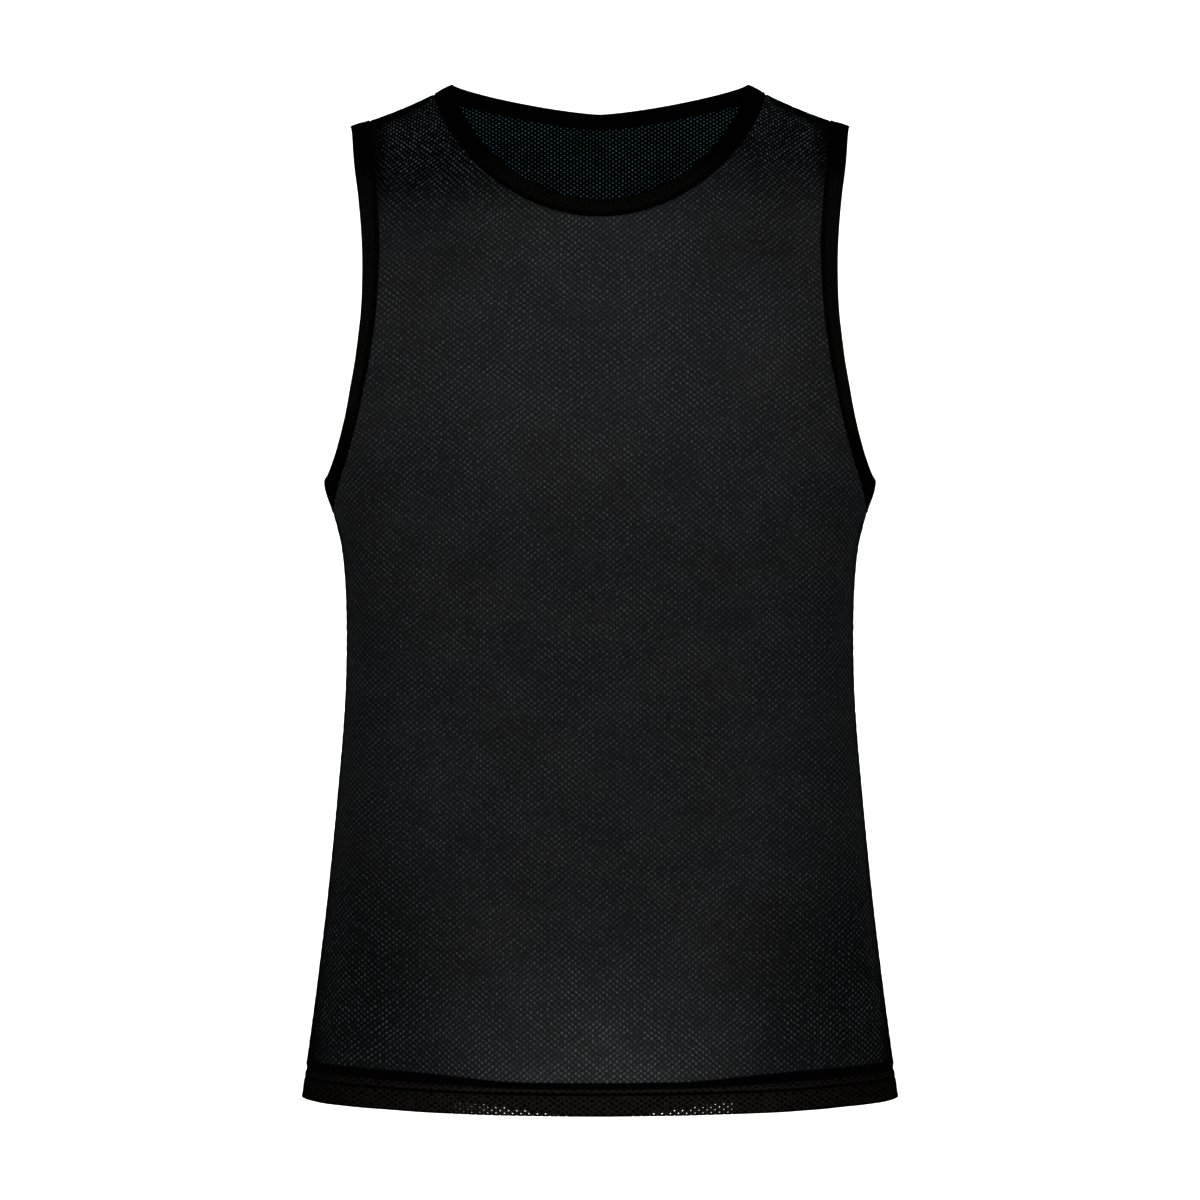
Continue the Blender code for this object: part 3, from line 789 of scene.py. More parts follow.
# ---- bindings
def neck_loop(stations):
    """The neck's seam and edge on each side: [(side, seam, edge), ...], round the front and back across the nape."""
    turns = np.linspace(-90, 90, stations + 1)
    return [
        (side, neck_place(side, some, NECK_BAND_WIDTH), neck_place(side, some, 0.0))
        for side, some in ((FRONT, turns), (BACK, turns[-2:0:-1]))
    ]


def armhole_loop(hand, stations):
    """The same for an armhole, down the front and up the back. hand is -1 on the -X side and 1 on the other."""
    shares = np.linspace(0, 1, stations + 1)
    loop = []
    for side, some in ((FRONT, shares), (BACK, shares[-2:0:-1])):
        lines = [(hand * angle, descent) for angle, descent in (armhole_seam(some), armhole_edge(some))]
        loop.append((side, *lines))
    return loop


def along_loop(loop, width_share, lift):
    """Points all round a binding, at one share of its width and one height over the cloth in millimetres."""
    parts = []
    for side, seam, edge in loop:
        angle, descent = ((1 - width_share) * p + width_share * q for p, q in zip(seam, edge))
        descent = np.where(seam[1] == 0, 0.0, descent)
        angle = np.where(np.abs(seam[0]) >= 90, seam[0], angle)
        parts.append(surface(side, angle, descent) + lift * outward(side, angle, descent))
    return np.concatenate(parts)


def make_band(name, loop, lights, flip, material):
    """A folded binding, lofted through one rounded section at each station. lights is a table of drop and light."""
    rings = [along_loop(loop, share, BAND_PROUD - BAND_THICKNESS * depth) for share, depth in BAND_SECTION]
    points = np.stack(rings, axis=1)
    stations, around = points.shape[:2]
    faces = net_faces(stations, around, close_rows=True, close_columns=True)
    if flip:
        faces = faces[:, ::-1]
    mesh = mesh_from(name, points.reshape(-1, 3), faces)
    along = running_length(closed(points[:, BAND_SECTION.index(BAND_CROWN)]), 0)
    across = np.linalg.norm(np.diff(points, axis=1, append=points[:, :1]), axis=-1).mean(axis=0)
    across = np.concatenate([[0.0], np.cumsum(across)[:-1]])
    station, place = faces // around, faces % around
    last = station.max(axis=1, keepdims=True) == stations - 1
    u = np.where(last & (station == 0), along[-1], along[:-1][station])
    wraps = place.max(axis=1, keepdims=True) == around - 1
    v = np.where(wraps & (place == 0), across[-1] + BAND_UV_GAP, across[place])
    add_uv(mesh, "knit", u, v)
    add_value(mesh, "band_share", np.tile([share for share, _ in BAND_SECTION], stations))
    # Painted light: how much the loops are lightened, by drop.
    add_value(mesh, "painted_lighting", read_table(lights, ORIGIN_DROP - points[..., 2]).ravel())
    return make_object(name, mesh, material)


# ---- sewing
def read_line(run, line, at):
    """Points of a line at these distances along it. A closed line goes on from its start."""
    at = np.mod(at, run[-1])
    return np.stack([np.interp(at, run, line[:, k]) for k in range(3)], axis=-1)


def stitch_tubes(starts, ends, ups, radius, sag):
    """Short rounded threads from starts to ends, whose ends dip into the cloth by sag."""
    points = []
    direction = unit(ends - starts)
    across = unit(np.cross(direction, ups))
    above = unit(np.cross(across, direction))
    turns = np.linspace(0, 2 * np.pi, STITCH_SIDES, endpoint=False)
    for share, width in STITCH_RINGS:
        dip = sag * (2 * share - 1) ** 2
        centre = starts + (ends - starts) * share - above * dip
        for turn in turns:
            points.append(centre + radius * width * (np.cos(turn) * across + np.sin(turn) * above))
    points = np.stack(points, axis=1)
    count, each = points.shape[:2]
    tube = net_faces(len(STITCH_RINGS), STITCH_SIDES, close_columns=True)
    last = each - STITCH_SIDES
    caps = [(0, 1, 2, 3), (0, 3, 4, 5), [last + k for k in (3, 2, 1, 0)], [last + k for k in (5, 4, 3, 0)]]
    one = np.concatenate([tube[:, ::-1], np.array(caps)])
    faces = one[None] + (np.arange(count) * each)[:, None, None]
    return points.reshape(-1, 3), faces.reshape(-1, 4)


def join_parts(parts):
    """Several pairs of points and faces as one."""
    points, faces, start = [], [], 0
    for some_points, some_faces in parts:
        points.append(some_points)
        faces.append(some_faces + start)
        start += len(some_points)
    return np.concatenate(points), np.concatenate(faces)


def dashed_row(loop, width_share, lift, pitch, length, radius):
    """A row of plain stitches round a binding."""
    line, above = (closed(along_loop(loop, width_share, each)) for each in (lift, lift + 1.0))
    run = running_length(line, 0)
    count = max(FEWEST_STITCHES, round(run[-1] / pitch))
    middles = np.arange(count) * run[-1] / count
    starts = read_line(run, line, middles - length / 2)
    ends = read_line(run, line, middles + length / 2)
    ups = read_line(run, above, middles) - read_line(run, line, middles)
    return stitch_tubes(starts, ends, ups, radius, radius * STITCH_SAG)


def chain_row(side, radius):
    """The hem's chain stitches: each is a loop of two legs that opens towards the next."""
    angles = np.linspace(-CHAIN_END_ANGLE, CHAIN_END_ANGLE, CHAIN_STATIONS)
    lines = []
    for up in (HEM_STITCH_UP - CHAIN_HALF_WIDTH, HEM_STITCH_UP, HEM_STITCH_UP + CHAIN_HALF_WIDTH):
        descent = descent_at(angles, LENGTH - up)
        normals = outward(side, angles, descent)
        lines.append(surface(side, angles, descent) + (read_table(HEM_PROFILE, up) + CHAIN_PROUD) * normals)
    low, middle, high = lines
    run = running_length(middle, 0)
    starts = np.arange(CHAIN_PITCH / 2, run[-1] - CHAIN_PITCH, CHAIN_PITCH)
    ups = read_line(run, normals, starts)
    foot = read_line(run, middle, starts)
    meets = read_line(run, middle, starts + CHAIN_PITCH * CHAIN_MEETS)
    parts = []
    for line in (low, high):
        wide = read_line(run, line, starts + CHAIN_PITCH * CHAIN_WIDEST)
        for start, end in ((foot, wide), (wide, meets)):
            parts.append(stitch_tubes(start, end, ups, radius, radius * CHAIN_SAG))
    return join_parts(parts)


# ---- shader helpers
HALVES = (0.5, 0.5, 0.5)
TURN = 2 * math.pi
WOBBLE_NOISE = (0.75, 1.0)  # scale and detail
LOOP_SLANT = 1.4  # how steeply the loops of the binding's knit lean to the middle of each wale
WALE_HEIGHT = 0.6  # how far a wale stands out, where a whole loop is 1
LOOP_RANGE = (-0.2, 1.0)
GRAIN_DETAIL = 1.5
GRAIN_GREYED = 0.55
GRAIN_DARKEST = (0.15, 0.15, 0.15)


class Graph:
    """A node tree that nodes and links are added to in few words."""

    def __init__(self, tree):
        self.tree = tree

    def feed(self, socket, value):
        """Links a socket, or sets its value."""
        if isinstance(value, bpy.types.NodeSocket):
            self.tree.links.new(value, socket)
        else:
            socket.default_value = value

    def node(self, kind, given=(), **settings):
        """A new node. given is what its inputs get, by name or number."""
        node = self.tree.nodes.new("ShaderNode" + kind)
        for key, value in settings.items():
            setattr(node, key, value)
        for key, value in dict(given).items():
            self.feed(node.inputs[key], value)
        return node

    def maths(self, operation, *values, clamp=False):
        return self.node("Math", enumerate(values), operation=operation, use_clamp=clamp).outputs[0]

    def times(self, first, *others):
        for other in others:
            first = self.maths("MULTIPLY", first, other)
        return first

    def minus(self, a, b):
        return self.maths("SUBTRACT", a, b)

    def range(self, *values):
        """A value brought smoothly from one range into another, which is 0 to 1 unless it is given."""
        return self.node("MapRange", enumerate(values), interpolation_type="SMOOTHSTEP").outputs[0]

    def mix(self, factor, a, b, blend_type="MIX"):
        return self.node("Mix", {0: factor, 6: a, 7: b}, data_type="RGBA", blend_type=blend_type).outputs[2]

    def tinted(self, colour, tint):
        return self.mix(1.0, colour, tint, "MULTIPLY")

    def vector(self, operation, a, b):
        return self.node("VectorMath", {0: a, 1: b}, operation=operation).outputs[0]

    def scale(self, value, factor):
        return self.node("VectorMath", {0: value, "Scale": factor}, operation="SCALE").outputs[0]

    def split(self, value):
        return self.node("SeparateXYZ", {0: value}).outputs

    def join(self, *values):
        return self.node("CombineXYZ", enumerate(values)).outputs[0]

    def attribute(self, name):
        return self.node("Attribute", attribute_name=name).outputs["Fac"]

    def uv(self, name):
        return self.node("UVMap", uv_map=name).outputs[0]

    def noises(self, vector, scale, detail, dimensions="3D"):
        given = {"Vector": vector, "Scale": scale, "Detail": detail}
        return self.node("TexNoise", given, noise_dimensions=dimensions).outputs

    def noise(self, vector, scale, detail=2.0):
        return self.noises(vector, scale, detail)["Fac"]

    def patches(self, vector, look):
        """Noise in patches, by its scale and detail and the range it is brought into."""
        return self.range(self.noise(vector, *look[0]), *look[1])

    def group(self, tree, **inputs):
        given = {name.replace("_", " "): value for name, value in inputs.items()}
        return self.node("Group", given, node_tree=tree).outputs

    def bump(self, shader, height, strength, distance):
        """Raises a shader's surface by a height."""
        given = {"Strength": strength, "Distance": distance, "Height": height}
        self.feed(shader.inputs["Normal"], self.node("Bump", given).outputs[0])


def made_once(make):
    """Lets a material or a node group be made when it is first asked for, and found by its name afterwards."""

    def find_or_make(name, *details):
        return bpy.data.materials.get(name) or bpy.data.node_groups.get(name) or make(name, *details)

    return find_or_make


def new_group(name, inputs, outputs):
    """An empty node group: its graph, its inputs and its outputs by name. An input without a default is a vector."""
    tree = bpy.data.node_groups.new(name, "ShaderNodeTree")
    for title, default in inputs.items():
        kind = "NodeSocketVector" if default is None else "NodeSocketFloat"
        socket = tree.interface.new_socket(name=title, in_out="INPUT", socket_type=kind)
        if default is not None:
            socket.default_value = default
    for title in outputs:
        kind = "NodeSocketColor" if title == "Color" else "NodeSocketFloat"
        tree.interface.new_socket(name=title, in_out="OUTPUT", socket_type=kind)
    given = tree.nodes.new("NodeGroupInput").outputs
    return Graph(tree), given, tree.nodes.new("NodeGroupOutput").inputs


@made_once
def mesh_knit(name):
    """The staggered dots of the micro mesh, from cells across and up, and the wave of the cloth between them."""
    inputs = {"Cells": None, "Dot Width": 0.14, "Dot Height": 0.2, "Unevenness": 0.8, "Wobble": 0.1, "Lean": 0.0}
    graph, given, out = new_group(name, inputs, ("Dots", "Even Dots", "Height"))
    wobble = graph.noises(given["Cells"], *WOBBLE_NOISE, "2D")["Color"]
    moved = graph.scale(graph.vector("SUBTRACT", wobble, HALVES), given["Wobble"])
    u, v, _ = graph.split(graph.vector("ADD", given["Cells"], moved))
    a = graph.maths("ADD", u, v)
    b = graph.minus(u, v)
    whole_a = graph.maths("ROUND", a)
    whole_b = graph.maths("ROUND", b)
    rest_a = graph.minus(a, whole_a)
    rest_b = graph.minus(b, whole_b)
    du = graph.times(graph.maths("ADD", rest_a, rest_b), 0.5)
    dv = graph.times(graph.minus(rest_a, rest_b), 0.5)
    across = graph.maths("DIVIDE", du, given["Dot Width"])
    upward = graph.maths("DIVIDE", dv, given["Dot Height"])
    distance = graph.maths("ADD", graph.times(across, across), graph.times(upward, upward))
    leaning = graph.times(across, upward, given["Lean"])
    shape = graph.maths("POWER", math.e, graph.minus(leaning, distance))
    place = graph.join(whole_a, whole_b)
    chance = graph.node("TexWhiteNoise", {"Vector": place}, noise_dimensions="2D").outputs["Value"]
    bright = graph.maths("MULTIPLY_ADD", graph.minus(chance, 0.5), given["Unevenness"], 1.0)
    graph.feed(out["Dots"], graph.times(shape, bright))
    graph.feed(out["Even Dots"], shape)
    waves = [graph.maths("COSINE", graph.times(each, TURN)) for each in (u, v)]
    graph.feed(out["Height"], graph.times(*waves))
    return graph.tree


@made_once
def binding_knit(name):
    """Fine plain knit: rows of small loops, from distances along and across the cloth in millimetres."""
    inputs = {"Distances": None, "Wale": 1.2, "Course": 0.95}
    graph, given, out = new_group(name, inputs, ("Loops", "Height"))
    x, y, _ = graph.split(given["Distances"])
    centred = graph.maths("PINGPONG", graph.maths("DIVIDE", x, given["Wale"]), 0.5)
    slanted = graph.maths("MULTIPLY_ADD", centred, LOOP_SLANT, graph.maths("DIVIDE", y, given["Course"]))
    bulge, round_wale = (graph.maths("SINE", graph.times(each, TURN)) for each in (slanted, centred))
    height = graph.maths("MULTIPLY_ADD", bulge, 0.5, graph.times(round_wale, WALE_HEIGHT))
    graph.feed(out["Loops"], graph.range(height, *LOOP_RANGE))
    graph.feed(out["Height"], height)
    return graph.tree


@made_once
def cloth_grain(name):
    """Uneven yarn: a colour near white that varies finely, to be multiplied into the cloth's colour."""
    graph, given, out = new_group(name, {"Place": None, "Scale": 5.0, "Strength": 1.0}, ("Color",))
    noise = graph.noises(given["Place"], given["Scale"], GRAIN_DETAIL, "2D")
    grey = graph.mix(GRAIN_GREYED, noise["Color"], graph.join(*[noise["Fac"]] * 3))
    scaled = graph.scale(graph.vector("SUBTRACT", grey, HALVES), given["Strength"])
    lifted = graph.vector("ADD", scaled, (1.0, 1.0, 1.0))
    graph.feed(out["Color"], graph.vector("MAXIMUM", lifted, GRAIN_DARKEST))
    return graph.tree


# ---- materials
def new_material(name, roughness=None, specular=0.0):
    """A material with its graph and its shader, which hardly mirrors."""
    material = bpy.data.materials.new(name)
    material.use_nodes = True
    shader = material.node_tree.nodes["Principled BSDF"]
    shader.inputs["Specular IOR Level"].default_value = specular
    if roughness is not None:
        shader.inputs["Roughness"].default_value = roughness
    return material, Graph(material.node_tree), shader


def colour4(colour):
    """A colour property as a socket takes it."""
    return (*colour, 1.0)


# The dots of the mesh: shares of a cell, how uneven they are, and how far they stray.
OUTER_DOTS = {"Dot_Width": 0.12, "Dot_Height": 0.175, "Unevenness": 1.5, "Wobble": 0.34}
INNER_DOTS = {"Dot_Width": 0.095, "Dot_Height": 0.12, "Unevenness": 0.9, "Wobble": 0.15}
FAR_DOTS = {"Dot_Width": 0.2, "Dot_Height": 0.24, "Unevenness": 0.4}
HEM_DOTS = {"Dot_Width": 0.2, "Dot_Height": 0.22, "Unevenness": 1.1}
BODY_YARN = {"Scale": 5.5, "Strength": 2.6}
HEM_YARN = {"Scale": 4.2, "Strength": 5.5}
BINDING_YARN = {"Scale": 0.75, "Strength": 8.0}
WARM = (1.04, 0.99, 0.965, 1.0)
COOL = (0.975, 1.0, 1.03, 1.0)

# Patches of the mesh that look different: the scale and detail of their noise, and the range it is brought into,
# which is the noise's low and high and what they become.
LEAN = ((0.1, 1.5), (0.42, 0.58, -0.7, 0.7))
FAR_SHOWS = ((0.11, 1.5), (0.4, 0.66, 0.06, 0.3))
DOTS_FADE = ((0.14, 1.5), (0.3, 0.56, 0.65, 1.0))
TINT = ((0.05, 2.0), (0.35, 0.65))
ELSEWHERE = (71.0, 37.0, 0.0)  # moves the patches where the dots fade away from those where the far side shows

# Ranges of other values, in the same order. Reaches are millimetres from a seam, and angles are degrees.
WAVE_SHADE = (-1.0, 0.4, 0.72, 1.06)
FAR_LIGHT = 2.8
HEM_SHADE_BY_ANGLE = (14.0, 78.0, 1.1, 0.4)
HEM_SHADE_IN_HOLES = (0.06, 0.6, 1.0, 0.05)
HEM_SHADE_AT_EDGE = (0.3, 2.2, 0.1, 1.0)
GROOVE_RISE = (12.0, 46.0, 0.0, HEM_GROOVE_RISE)
GROOVE_WIDENING = (14.0, 36.0, 0.0, HEM_GROOVE_WIDENING)
GROOVE_FOOT = (HEM_GROOVE[0] - 0.4, HEM_GROOVE[0] + 0.4)
GROOVE_TOP = (HEM_GROOVE[1] + 0.8, HEM_GROOVE[1] - 0.6)
LINE_FOOT = (HEM_LINE[0] - 0.7, HEM_LINE[0] + 0.2)
LINE_TOP = (HEM_LINE[1] + 0.4, HEM_LINE[1] - 0.4)
HEM_TOP = (HEM_GROOVE[0] + 0.5, HEM_GROOVE[0] - 0.3)
# Reaches of the near black strips: along the shoulder ridge, partly seam cloth and partly painted shade, and up the
# sides, painted shade.
RIDGE_SEAM_AND_SHADE_REACH = (27.0, 13.0)
FLANK_SHADE_REACH = (28.0, 4.0, 0.0, 0.92)
SEAM_REACH = (1.8, 0.6)
HOLE_EDGE = (0.72, 0.8)
SHEER_EDGE = (0.45, 0.55)
MESH_ROUGHNESS = (0.0, 1.0, 0.9, 0.7)
BINDING_ROUGHNESS = (0.0, 1.0, 0.95, 0.85)
BINDING_SEAM_SHADE = (0.05, 0.3, 0.12, 1.0)
BINDING_EDGE_SHADE = (0.98, 0.78, 0.1, 1.0)
TWIST_SHADE = (0.0, 1.0, 0.4, 1.0)
TWIST_SCALE = 900.0
PAPER_SCALE = 60.0
PAPER_GREY = (0.8, 0.8, 0.8, 1.0)
PAPER_SHADE = (0.0, 1.0, 0.0, 0.02)
MESH_BUMP = (0.45, 0.0004)  # strength, and height in metres
BINDING_BUMP = (0.5, 0.00025)


def single_mesh(graph, cells, near, far, ground_colour, dots_colour):
    """The colour of one layer of mesh. far is the mesh of the far side that shows through it, or nothing."""
    dots = graph.times(near["Dots"], graph.patches(graph.vector("ADD", cells, ELSEWHERE), DOTS_FADE))
    # The ground and the dots take the panel's painted light and shade.
    ground = graph.scale(tuple(ground_colour), graph.attribute("painted_light_on_ground"))
    light = graph.scale(tuple(dots_colour), graph.attribute("painted_light_on_dots"))
    tint = graph.mix(graph.patches(cells, TINT), WARM, COOL)
    shade = graph.range(near["Height"], *WAVE_SHADE)
    if far:
        # Painted light: the ground is painted lighter in the pattern of the far side's dots, for light that shows
        # through both layers.
        shows = graph.times(far["Dots"], graph.patches(cells, FAR_SHOWS))
        shade = graph.maths("MULTIPLY_ADD", shows, FAR_LIGHT, shade)
    body = graph.vector("ADD", graph.scale(graph.tinted(ground, tint), shade), graph.scale(light, dots))
    uneven = graph.group(cloth_grain("Cloth grain"), Place=cells, **BODY_YARN)["Color"]
    return graph.tinted(body, uneven)


def doubled_mesh(graph, cells, doubled, up, angle, hem_colour):
    """The colour of the hem's two layers, with painted shade: darker in their holes, towards the sides, where the
    cloth turns from the light, and at the folded edge.
    """
    yarn = graph.group(cloth_grain("Cloth grain"), Place=cells, **HEM_YARN)["Color"]
    given = ((angle, HEM_SHADE_BY_ANGLE), (doubled["Dots"], HEM_SHADE_IN_HOLES), (up, HEM_SHADE_AT_EDGE))
    shades = [graph.range(value, *limits) for value, limits in given]
    return graph.scale(graph.tinted(colour4(hem_colour), yarn), graph.times(*shades))


def closed_and_shaded_parts(graph, up, height, angle):
    """Where the mesh is painted near black: every seam, which sewing closes; the hem's two furrows, as painted
    shade; the shoulder ridge, partly seam cloth and partly painted shade; and strips up the side seams, as painted
    shade where the cloth turns from the light.
    """
    upper = graph.minus(height, graph.range(angle, *GROOVE_WIDENING))
    closed_and_shade = graph.times(graph.range(height, *GROOVE_FOOT), graph.range(upper, *GROOVE_TOP))
    parts = [graph.times(graph.range(up, *LINE_FOOT), graph.range(up, *LINE_TOP))]
    for name, reach in (("from_ridge", RIDGE_SEAM_AND_SHADE_REACH), ("from_flank", FLANK_SHADE_REACH), ("from_seam", SEAM_REACH)):
        parts.append(graph.range(graph.attribute(name), *reach))
    for part in parts:
        closed_and_shade = graph.maths("MAXIMUM", closed_and_shade, part)
    return closed_and_shade


@made_once
def mesh_material(name, colours, inside):
    """Micro mesh: staggered dots painted lighter than the ground for the light that shows through its holes, solid
    at the seams and near black where shade is painted, doubled and darker at the hem.
    """
    material, graph, shader = new_material(name)
    knit = mesh_knit("Micro mesh")
    cells = graph.uv("cells")
    up = graph.attribute("up_from_hem")
    angle = graph.attribute("round")
    if inside:
        # The inside is a shaded copy of the mesh: painted shade makes its ground near black, and its dots are
        # painted bright teal for the light that shows through the holes.
        near = graph.group(knit, Cells=cells, **INNER_DOTS)
        body = single_mesh(graph, cells, near, None, colours.inside_ground_painted_shade, colours.inside_dots_painted_light)
    else:
        near = graph.group(knit, Cells=cells, Lean=graph.patches(cells, LEAN), **OUTER_DOTS)
        x, y, _ = graph.split(cells)
        slant = graph.vector("MULTIPLY", graph.join(y, x), FAR_SLANT)
        slanted = graph.vector("ADD", graph.vector("MULTIPLY", cells, FAR_CELLS), slant)
        far = graph.group(knit, Cells=slanted, **FAR_DOTS)
        # Painted light: the outside's dots are lighter for the light that shows through the holes.
        body = single_mesh(graph, cells, near, far, colours.mesh_ground, colours.dots_painted_light)
    doubled = graph.group(knit, Cells=graph.vector("MULTIPLY", cells, HEM_CELLS), **HEM_DOTS)
    hem = doubled_mesh(graph, cells, doubled, up, angle, colours.hem_cloth)
    height = graph.minus(up, graph.range(angle, *GROOVE_RISE))
    closed_and_shade = closed_and_shaded_parts(graph, up, height, angle)
    cloth = graph.mix(graph.range(height, *HEM_TOP), body, hem)
    # Near black where sewing closes the mesh and where shade is painted.
    colour = graph.mix(closed_and_shade, cloth, colour4(colours.closed_and_shaded_cloth))
    graph.feed(shader.inputs["Base Color"], colour)
    graph.feed(shader.inputs["Roughness"], graph.range(near["Dots"], *MESH_ROUGHNESS))
    sheer = graph.range(graph.attribute("sheer"), *SHEER_EDGE)
    hole = graph.times(graph.range(doubled["Even Dots"], *HOLE_EDGE), sheer)
    graph.feed(shader.inputs["Alpha"], graph.maths("SUBTRACT", 1.0, hole, clamp=True))
    graph.bump(shader, graph.times(near["Height"], graph.minus(1.0, closed_and_shade)), *MESH_BUMP)
    return material


@made_once
def binding_material(name, colours):
    """The folded knit of the bindings, near black, with small loops painted lighter where the light falls on them,
    and painted shade at the seam and the folded edge.
    """
    material, graph, shader = new_material(name)
    place = graph.uv("knit")
    knit = graph.group(binding_knit("Binding knit"), Distances=place)
    share = graph.attribute("band_share")
    middle = graph.times(graph.range(share, *BINDING_SEAM_SHADE), graph.range(share, *BINDING_EDGE_SHADE))
    loops = graph.maths("MULTIPLY_ADD", knit["Loops"], 0.5, 0.5)
    lit = graph.times(middle, graph.attribute("painted_lighting"), loops)
    yarn = graph.group(cloth_grain("Cloth grain"), Place=place, **BINDING_YARN)["Color"]
    colour = graph.mix(lit, colour4(colours.binding_ground), colour4(colours.binding_loops))
    graph.feed(shader.inputs["Base Color"], graph.tinted(colour, yarn))
    graph.feed(shader.inputs["Roughness"], graph.range(knit["Loops"], *BINDING_ROUGHNESS))
    graph.bump(shader, knit["Height"], *BINDING_BUMP)
    return material


@made_once
def thread_material(name, colour):
    """Sewing thread: slightly shiny, with the twist of its plies."""
    material, graph, shader = new_material(name, roughness=0.8, specular=0.006)
    place = graph.node("TexCoord").outputs["Object"]
    twist = graph.range(graph.noise(place, TWIST_SCALE), *TWIST_SHADE)
    # Painted light: the thread is painted darker where the cloth turns from the light.
    light = graph.times(twist, graph.attribute("painted_lighting"))
    graph.feed(shader.inputs["Base Color"], graph.scale(tuple(colour), light))
    return material


@made_once
def backdrop_material(name, colour):
    """White paper with a faint grain."""
    material, graph, shader = new_material(name, roughness=0.9, specular=0.1)
    place = graph.node("TexCoord").outputs["Object"]
    grain = graph.range(graph.noise(place, PAPER_SCALE), *PAPER_SHADE)
    graph.feed(shader.inputs["Base Color"], graph.mix(grain, colour4(colour), PAPER_GREY))
    return material


# ---- properties
def length_property(name, description, default):
    """A size that a user would change."""
    return FloatProperty(name=name, description=description, default=default, unit="LENGTH")


def colour_property(name, description, default):
    """A colour that a user would change."""
    return FloatVectorProperty(name=name, description=description, default=default, size=3, min=0.0, max=1.0,
                               subtype="COLOR")


class BibSizes(PropertyGroup):
    """Sizes that a user would change."""

    stitch_pitch: length_property("Stitch pitch", "Distance from one stitch of the bindings to the next", 0.0038)
    stitch_length: length_property("Stitch length", "Length of thread that shows in each stitch", 0.0026)
    thread_thickness: length_property("Thread thickness", "Thickness of the sewing thread", 0.0005)
    floor_gap: length_property("Floor gap", "Height of the hem over the floor", 0.26)


class BibColours(PropertyGroup):
    """Colours that a user would change."""

    mesh_ground: colour_property("Mesh ground", "The mesh between its dots", (0.0077, 0.0082, 0.0083))
    # Painted light: the dots' colour stands for the light that shows through the mesh's holes.
    dots_painted_light: colour_property("Mesh dots", "The dots of the mesh", (0.0205, 0.0225, 0.0246))
    # Painted shade and light: the inside's near black ground, and its teal dots, lit through the holes.
    inside_ground_painted_shade: colour_property("Inside ground", "The inside between its dots", (0.0001, 0.0002, 0.0002))
    inside_dots_painted_light: colour_property("Inside dots", "The dots on the inside", (0.088, 0.190, 0.228))
    # Near black for the seams, and for the painted shade on the shoulders, the sides and the hem's furrows.
    closed_and_shaded_cloth: colour_property("Solid cloth", "The mesh where sewing closes it", (0.0006, 0.0008, 0.0006))
    hem_cloth: colour_property("Hem cloth", "The doubled mesh of the hem", (0.0070, 0.0061, 0.0056))
    binding_ground: colour_property("Binding ground", "The binding in the shade", (0.0004, 0.0004, 0.0004))
    binding_loops: colour_property("Binding loops", "The binding in the light", (0.0030, 0.0032, 0.0023))
    binding_thread: colour_property("Binding thread", "The thread that holds the bindings", (0.0004, 0.0004, 0.0004))
    hem_thread: colour_property("Hem thread", "The thread of the hem", (0.024, 0.0190, 0.0180))
    backdrop: colour_property("Backdrop", "The floor and the backdrop", (0.92, 0.92, 0.92))


# ---- operators
class BIB_OT_panels(Operator):
    """Cuts the front and back from micro mesh"""

    bl_idname = "bib.panels"
    bl_label = "Front and back"

    def execute(self, context):
        colours = context.scene.bib_colours
        materials = [
            mesh_material("micro_mesh_outside", colours, False),
            mesh_material("micro_mesh_inside", colours, True),
        ]
        front = make_panel("front_cloth", FRONT, materials)
        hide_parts("front_panel")
        back = make_panel("back_cloth", BACK, materials)
        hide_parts("back_panel")
        return {"FINISHED"}


class BIB_OT_bindings(Operator):
    """Folds the bindings round the neck and the armholes"""

    bl_idname = "bib.bindings"
    bl_label = "Bindings"

    def execute(self, context):
        material = binding_material("binding_knit_cloth", context.scene.bib_colours)
        neck = make_band("neck_band", neck_loop(NECK_STATIONS), NECK_LIGHTS, True, material)
        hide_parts("neck_binding")
        for name, node, hand in (("armhole_band_right", "armhole_binding_right", -1),
                                 ("armhole_band_left", "armhole_binding_left", 1)):
            band = make_band(name, armhole_loop(hand, ARMHOLE_STATIONS), ARMHOLE_LIGHTS, hand > 0, material)
            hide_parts(node)
        return {"FINISHED"}


class BIB_OT_sewing(Operator):
    """Sews the bindings and the hem down"""

    bl_idname = "bib.sewing"
    bl_label = "Sewing"

    def execute(self, context):
        sizes = context.scene.bib_sizes
        colours = context.scene.bib_colours
        pitch = sizes.stitch_pitch / MM
        length = sizes.stitch_length / MM
        radius = sizes.thread_thickness / MM / 2
        loops = [neck_loop(NECK_STATIONS), armhole_loop(-1, ARMHOLE_STATIONS), armhole_loop(1, ARMHOLE_STATIONS)]
        share, depth = BAND_FURROW
        lift = BAND_PROUD - depth * BAND_THICKNESS + STITCH_PROUD
        points, faces = join_parts([dashed_row(loop, share, lift, pitch, length, radius) for loop in loops])
        mesh = mesh_from("binding_stitches", points, faces)
        add_value(mesh, "painted_lighting", np.ones(len(points)))
        piece = make_object("binding_stitches", mesh, thread_material("binding_thread", colours.binding_thread))
        points, faces = join_parts([chain_row(side, radius * CHAIN_THREAD) for side in (FRONT, BACK)])
        mesh = mesh_from("hem_stitches", points, faces)
        # Painted light: the hem's thread is painted darker towards the sides.
        add_value(mesh, "painted_lighting", read_table(HEM_LIGHTS, np.abs(points[:, 0])))
        piece = make_object("hem_stitches", mesh, thread_material("hem_thread", colours.hem_thread))
        return {"FINISHED"}


class BIB_OT_stage(Operator):
    """Sets up the white backdrop, the soft lights and the camera"""

    bl_idname = "bib.stage"
    bl_label = "Stage"

    def execute(self, context):
        make_backdrop(context)
        make_lights(context)
        make_camera(context)
        return {"FINISHED"}


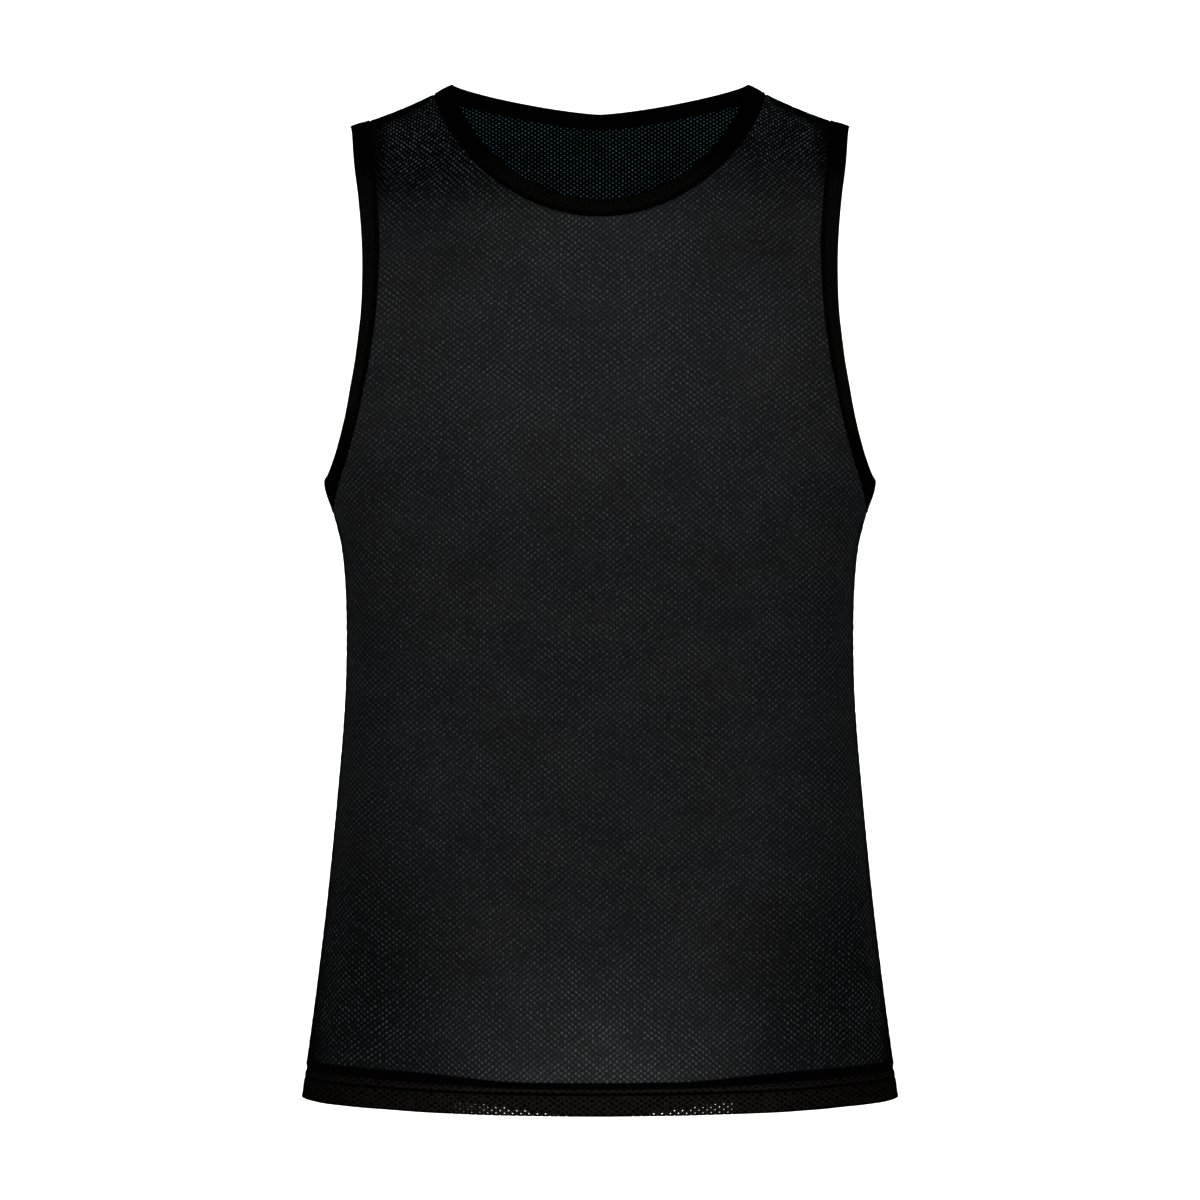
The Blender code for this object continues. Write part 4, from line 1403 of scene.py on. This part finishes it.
# ---- the stage, in metres
BACKDROP_HALF_WIDTH = 5.0
BACKDROP_FRONT = -8.0
BACKDROP_BACK = 4.4
BACKDROP_CURVE = 1.0
BACKDROP_HEIGHT = 5.0
BACKDROP_TURNS = 17

Light = namedtuple("Light", "name place aim size power")
LIGHTS = rows_of(
    Light,
    ("softbox_left", (-1.2, -3.6, 0.6), (0.0, 0.0, -0.35), 1.8, 41.0),
    ("softbox_right", (1.2, -3.6, 0.6), (0.0, 0.0, -0.35), 1.8, 41.0),
    ("softbox_top", (0.0, -0.9, 2.6), (0.0, 0.0, -0.35), 1.6, 14.0),
    ("wall_light_left", (-3.2, 2.2, 1.4), (-0.4, 4.2, -0.6), 1.6, 190.0),
    ("wall_light_right", (3.2, 2.2, 1.4), (0.4, 4.2, -0.6), 1.6, 190.0),
)
WORLD_STRENGTH = 0.2

CAMERA_DISTANCE = 3.2
CAMERA_HEIGHT = -0.346  # level with the middle of the photograph
FRAME_WIDTH = 0.840  # width of the view at the bib's middle
SENSOR_WIDTH = 36.0


def make_backdrop(context):
    """A white sweep: the floor runs up into the wall behind in one curve."""
    lowest = CAD_BOX[0][2] - context.scene.bib_sizes.floor_gap
    line = [(BACKDROP_FRONT, lowest)]
    for turn in np.linspace(0, math.pi / 2, BACKDROP_TURNS):
        line.append((BACKDROP_BACK - BACKDROP_CURVE + BACKDROP_CURVE * math.sin(turn),
                     lowest + BACKDROP_CURVE * (1 - math.cos(turn))))
    line.append((BACKDROP_BACK, BACKDROP_HEIGHT))
    points = [(x, y, z) for x in (-BACKDROP_HALF_WIDTH, BACKDROP_HALF_WIDTH) for y, z in line]
    mesh = mesh_from("backdrop", np.array(points) / MM, net_faces(2, len(line)))
    mesh.materials.append(backdrop_material("backdrop_paper", context.scene.bib_colours.backdrop))
    add_object("backdrop", mesh)


def aim(thing, place, target):
    """Puts a light or camera at a place, looking at another."""
    thing.location = place
    thing.rotation_euler = (Vector(target) - Vector(place)).to_track_quat("-Z", "Y").to_euler()


def make_lights(context):
    """Large soft lights from both sides, above and on the wall, in an evenly bright room."""
    for row in LIGHTS:
        data = bpy.data.lights.new(row.name, "AREA")
        data.shape = "SQUARE"
        data.size = row.size
        data.energy = row.power
        light = add_object(row.name, data)
        light.visible_camera = False
        aim(light, row.place, row.aim)
    world = bpy.data.worlds.new("studio")
    world.use_nodes = True
    background = world.node_tree.nodes["Background"]
    background.inputs["Color"].default_value = (1.0, 1.0, 1.0, 1.0)
    background.inputs["Strength"].default_value = WORLD_STRENGTH
    context.scene.world = world
    context.scene.view_settings.view_transform = "Standard"


def make_camera(context):
    """A long lens straight in front, level with the middle of the bib."""
    data = bpy.data.cameras.new("camera")
    data.sensor_width = SENSOR_WIDTH
    data.lens = SENSOR_WIDTH * CAMERA_DISTANCE / FRAME_WIDTH
    camera = add_object("camera", data)
    aim(camera, (0.0, -CAMERA_DISTANCE, CAMERA_HEIGHT), (0.0, 0.0, CAMERA_HEIGHT))
    context.scene.camera = camera


class BIB_PT_sidebar(Panel):
    """Lists the bib's pieces, sizes and colours"""

    bl_idname = "BIB_PT_sidebar"
    bl_label = "Training bib"
    bl_space_type = "VIEW_3D"
    bl_region_type = "UI"
    bl_category = "Bib"

    def draw(self, context):
        for operator in OPERATORS:
            self.layout.operator(operator.bl_idname)
        for group in (context.scene.bib_sizes, context.scene.bib_colours):
            column = self.layout.column()
            for name in group.__annotations__:
                column.prop(group, name)


OPERATORS = (BIB_OT_bindings, BIB_OT_panels, BIB_OT_sewing, BIB_OT_stage)
CLASSES = (BibSizes, BibColours, *OPERATORS, BIB_PT_sidebar)


def register():
    """Adds the classes and the scene's properties."""
    for each in CLASSES:
        bpy.utils.register_class(each)
    bpy.types.Scene.bib_sizes = PointerProperty(type=BibSizes)
    bpy.types.Scene.bib_colours = PointerProperty(type=BibColours)


def unregister():
    """Takes them away again."""
    del bpy.types.Scene.bib_colours
    del bpy.types.Scene.bib_sizes
    for each in reversed(CLASSES):
        bpy.utils.unregister_class(each)


def main():
    """Makes every piece."""
    register()
    bpy.ops.bib.bindings()
    bpy.ops.bib.panels()
    bpy.ops.bib.sewing()
    bpy.ops.bib.stage()


if __name__ == "__main__":
    main()
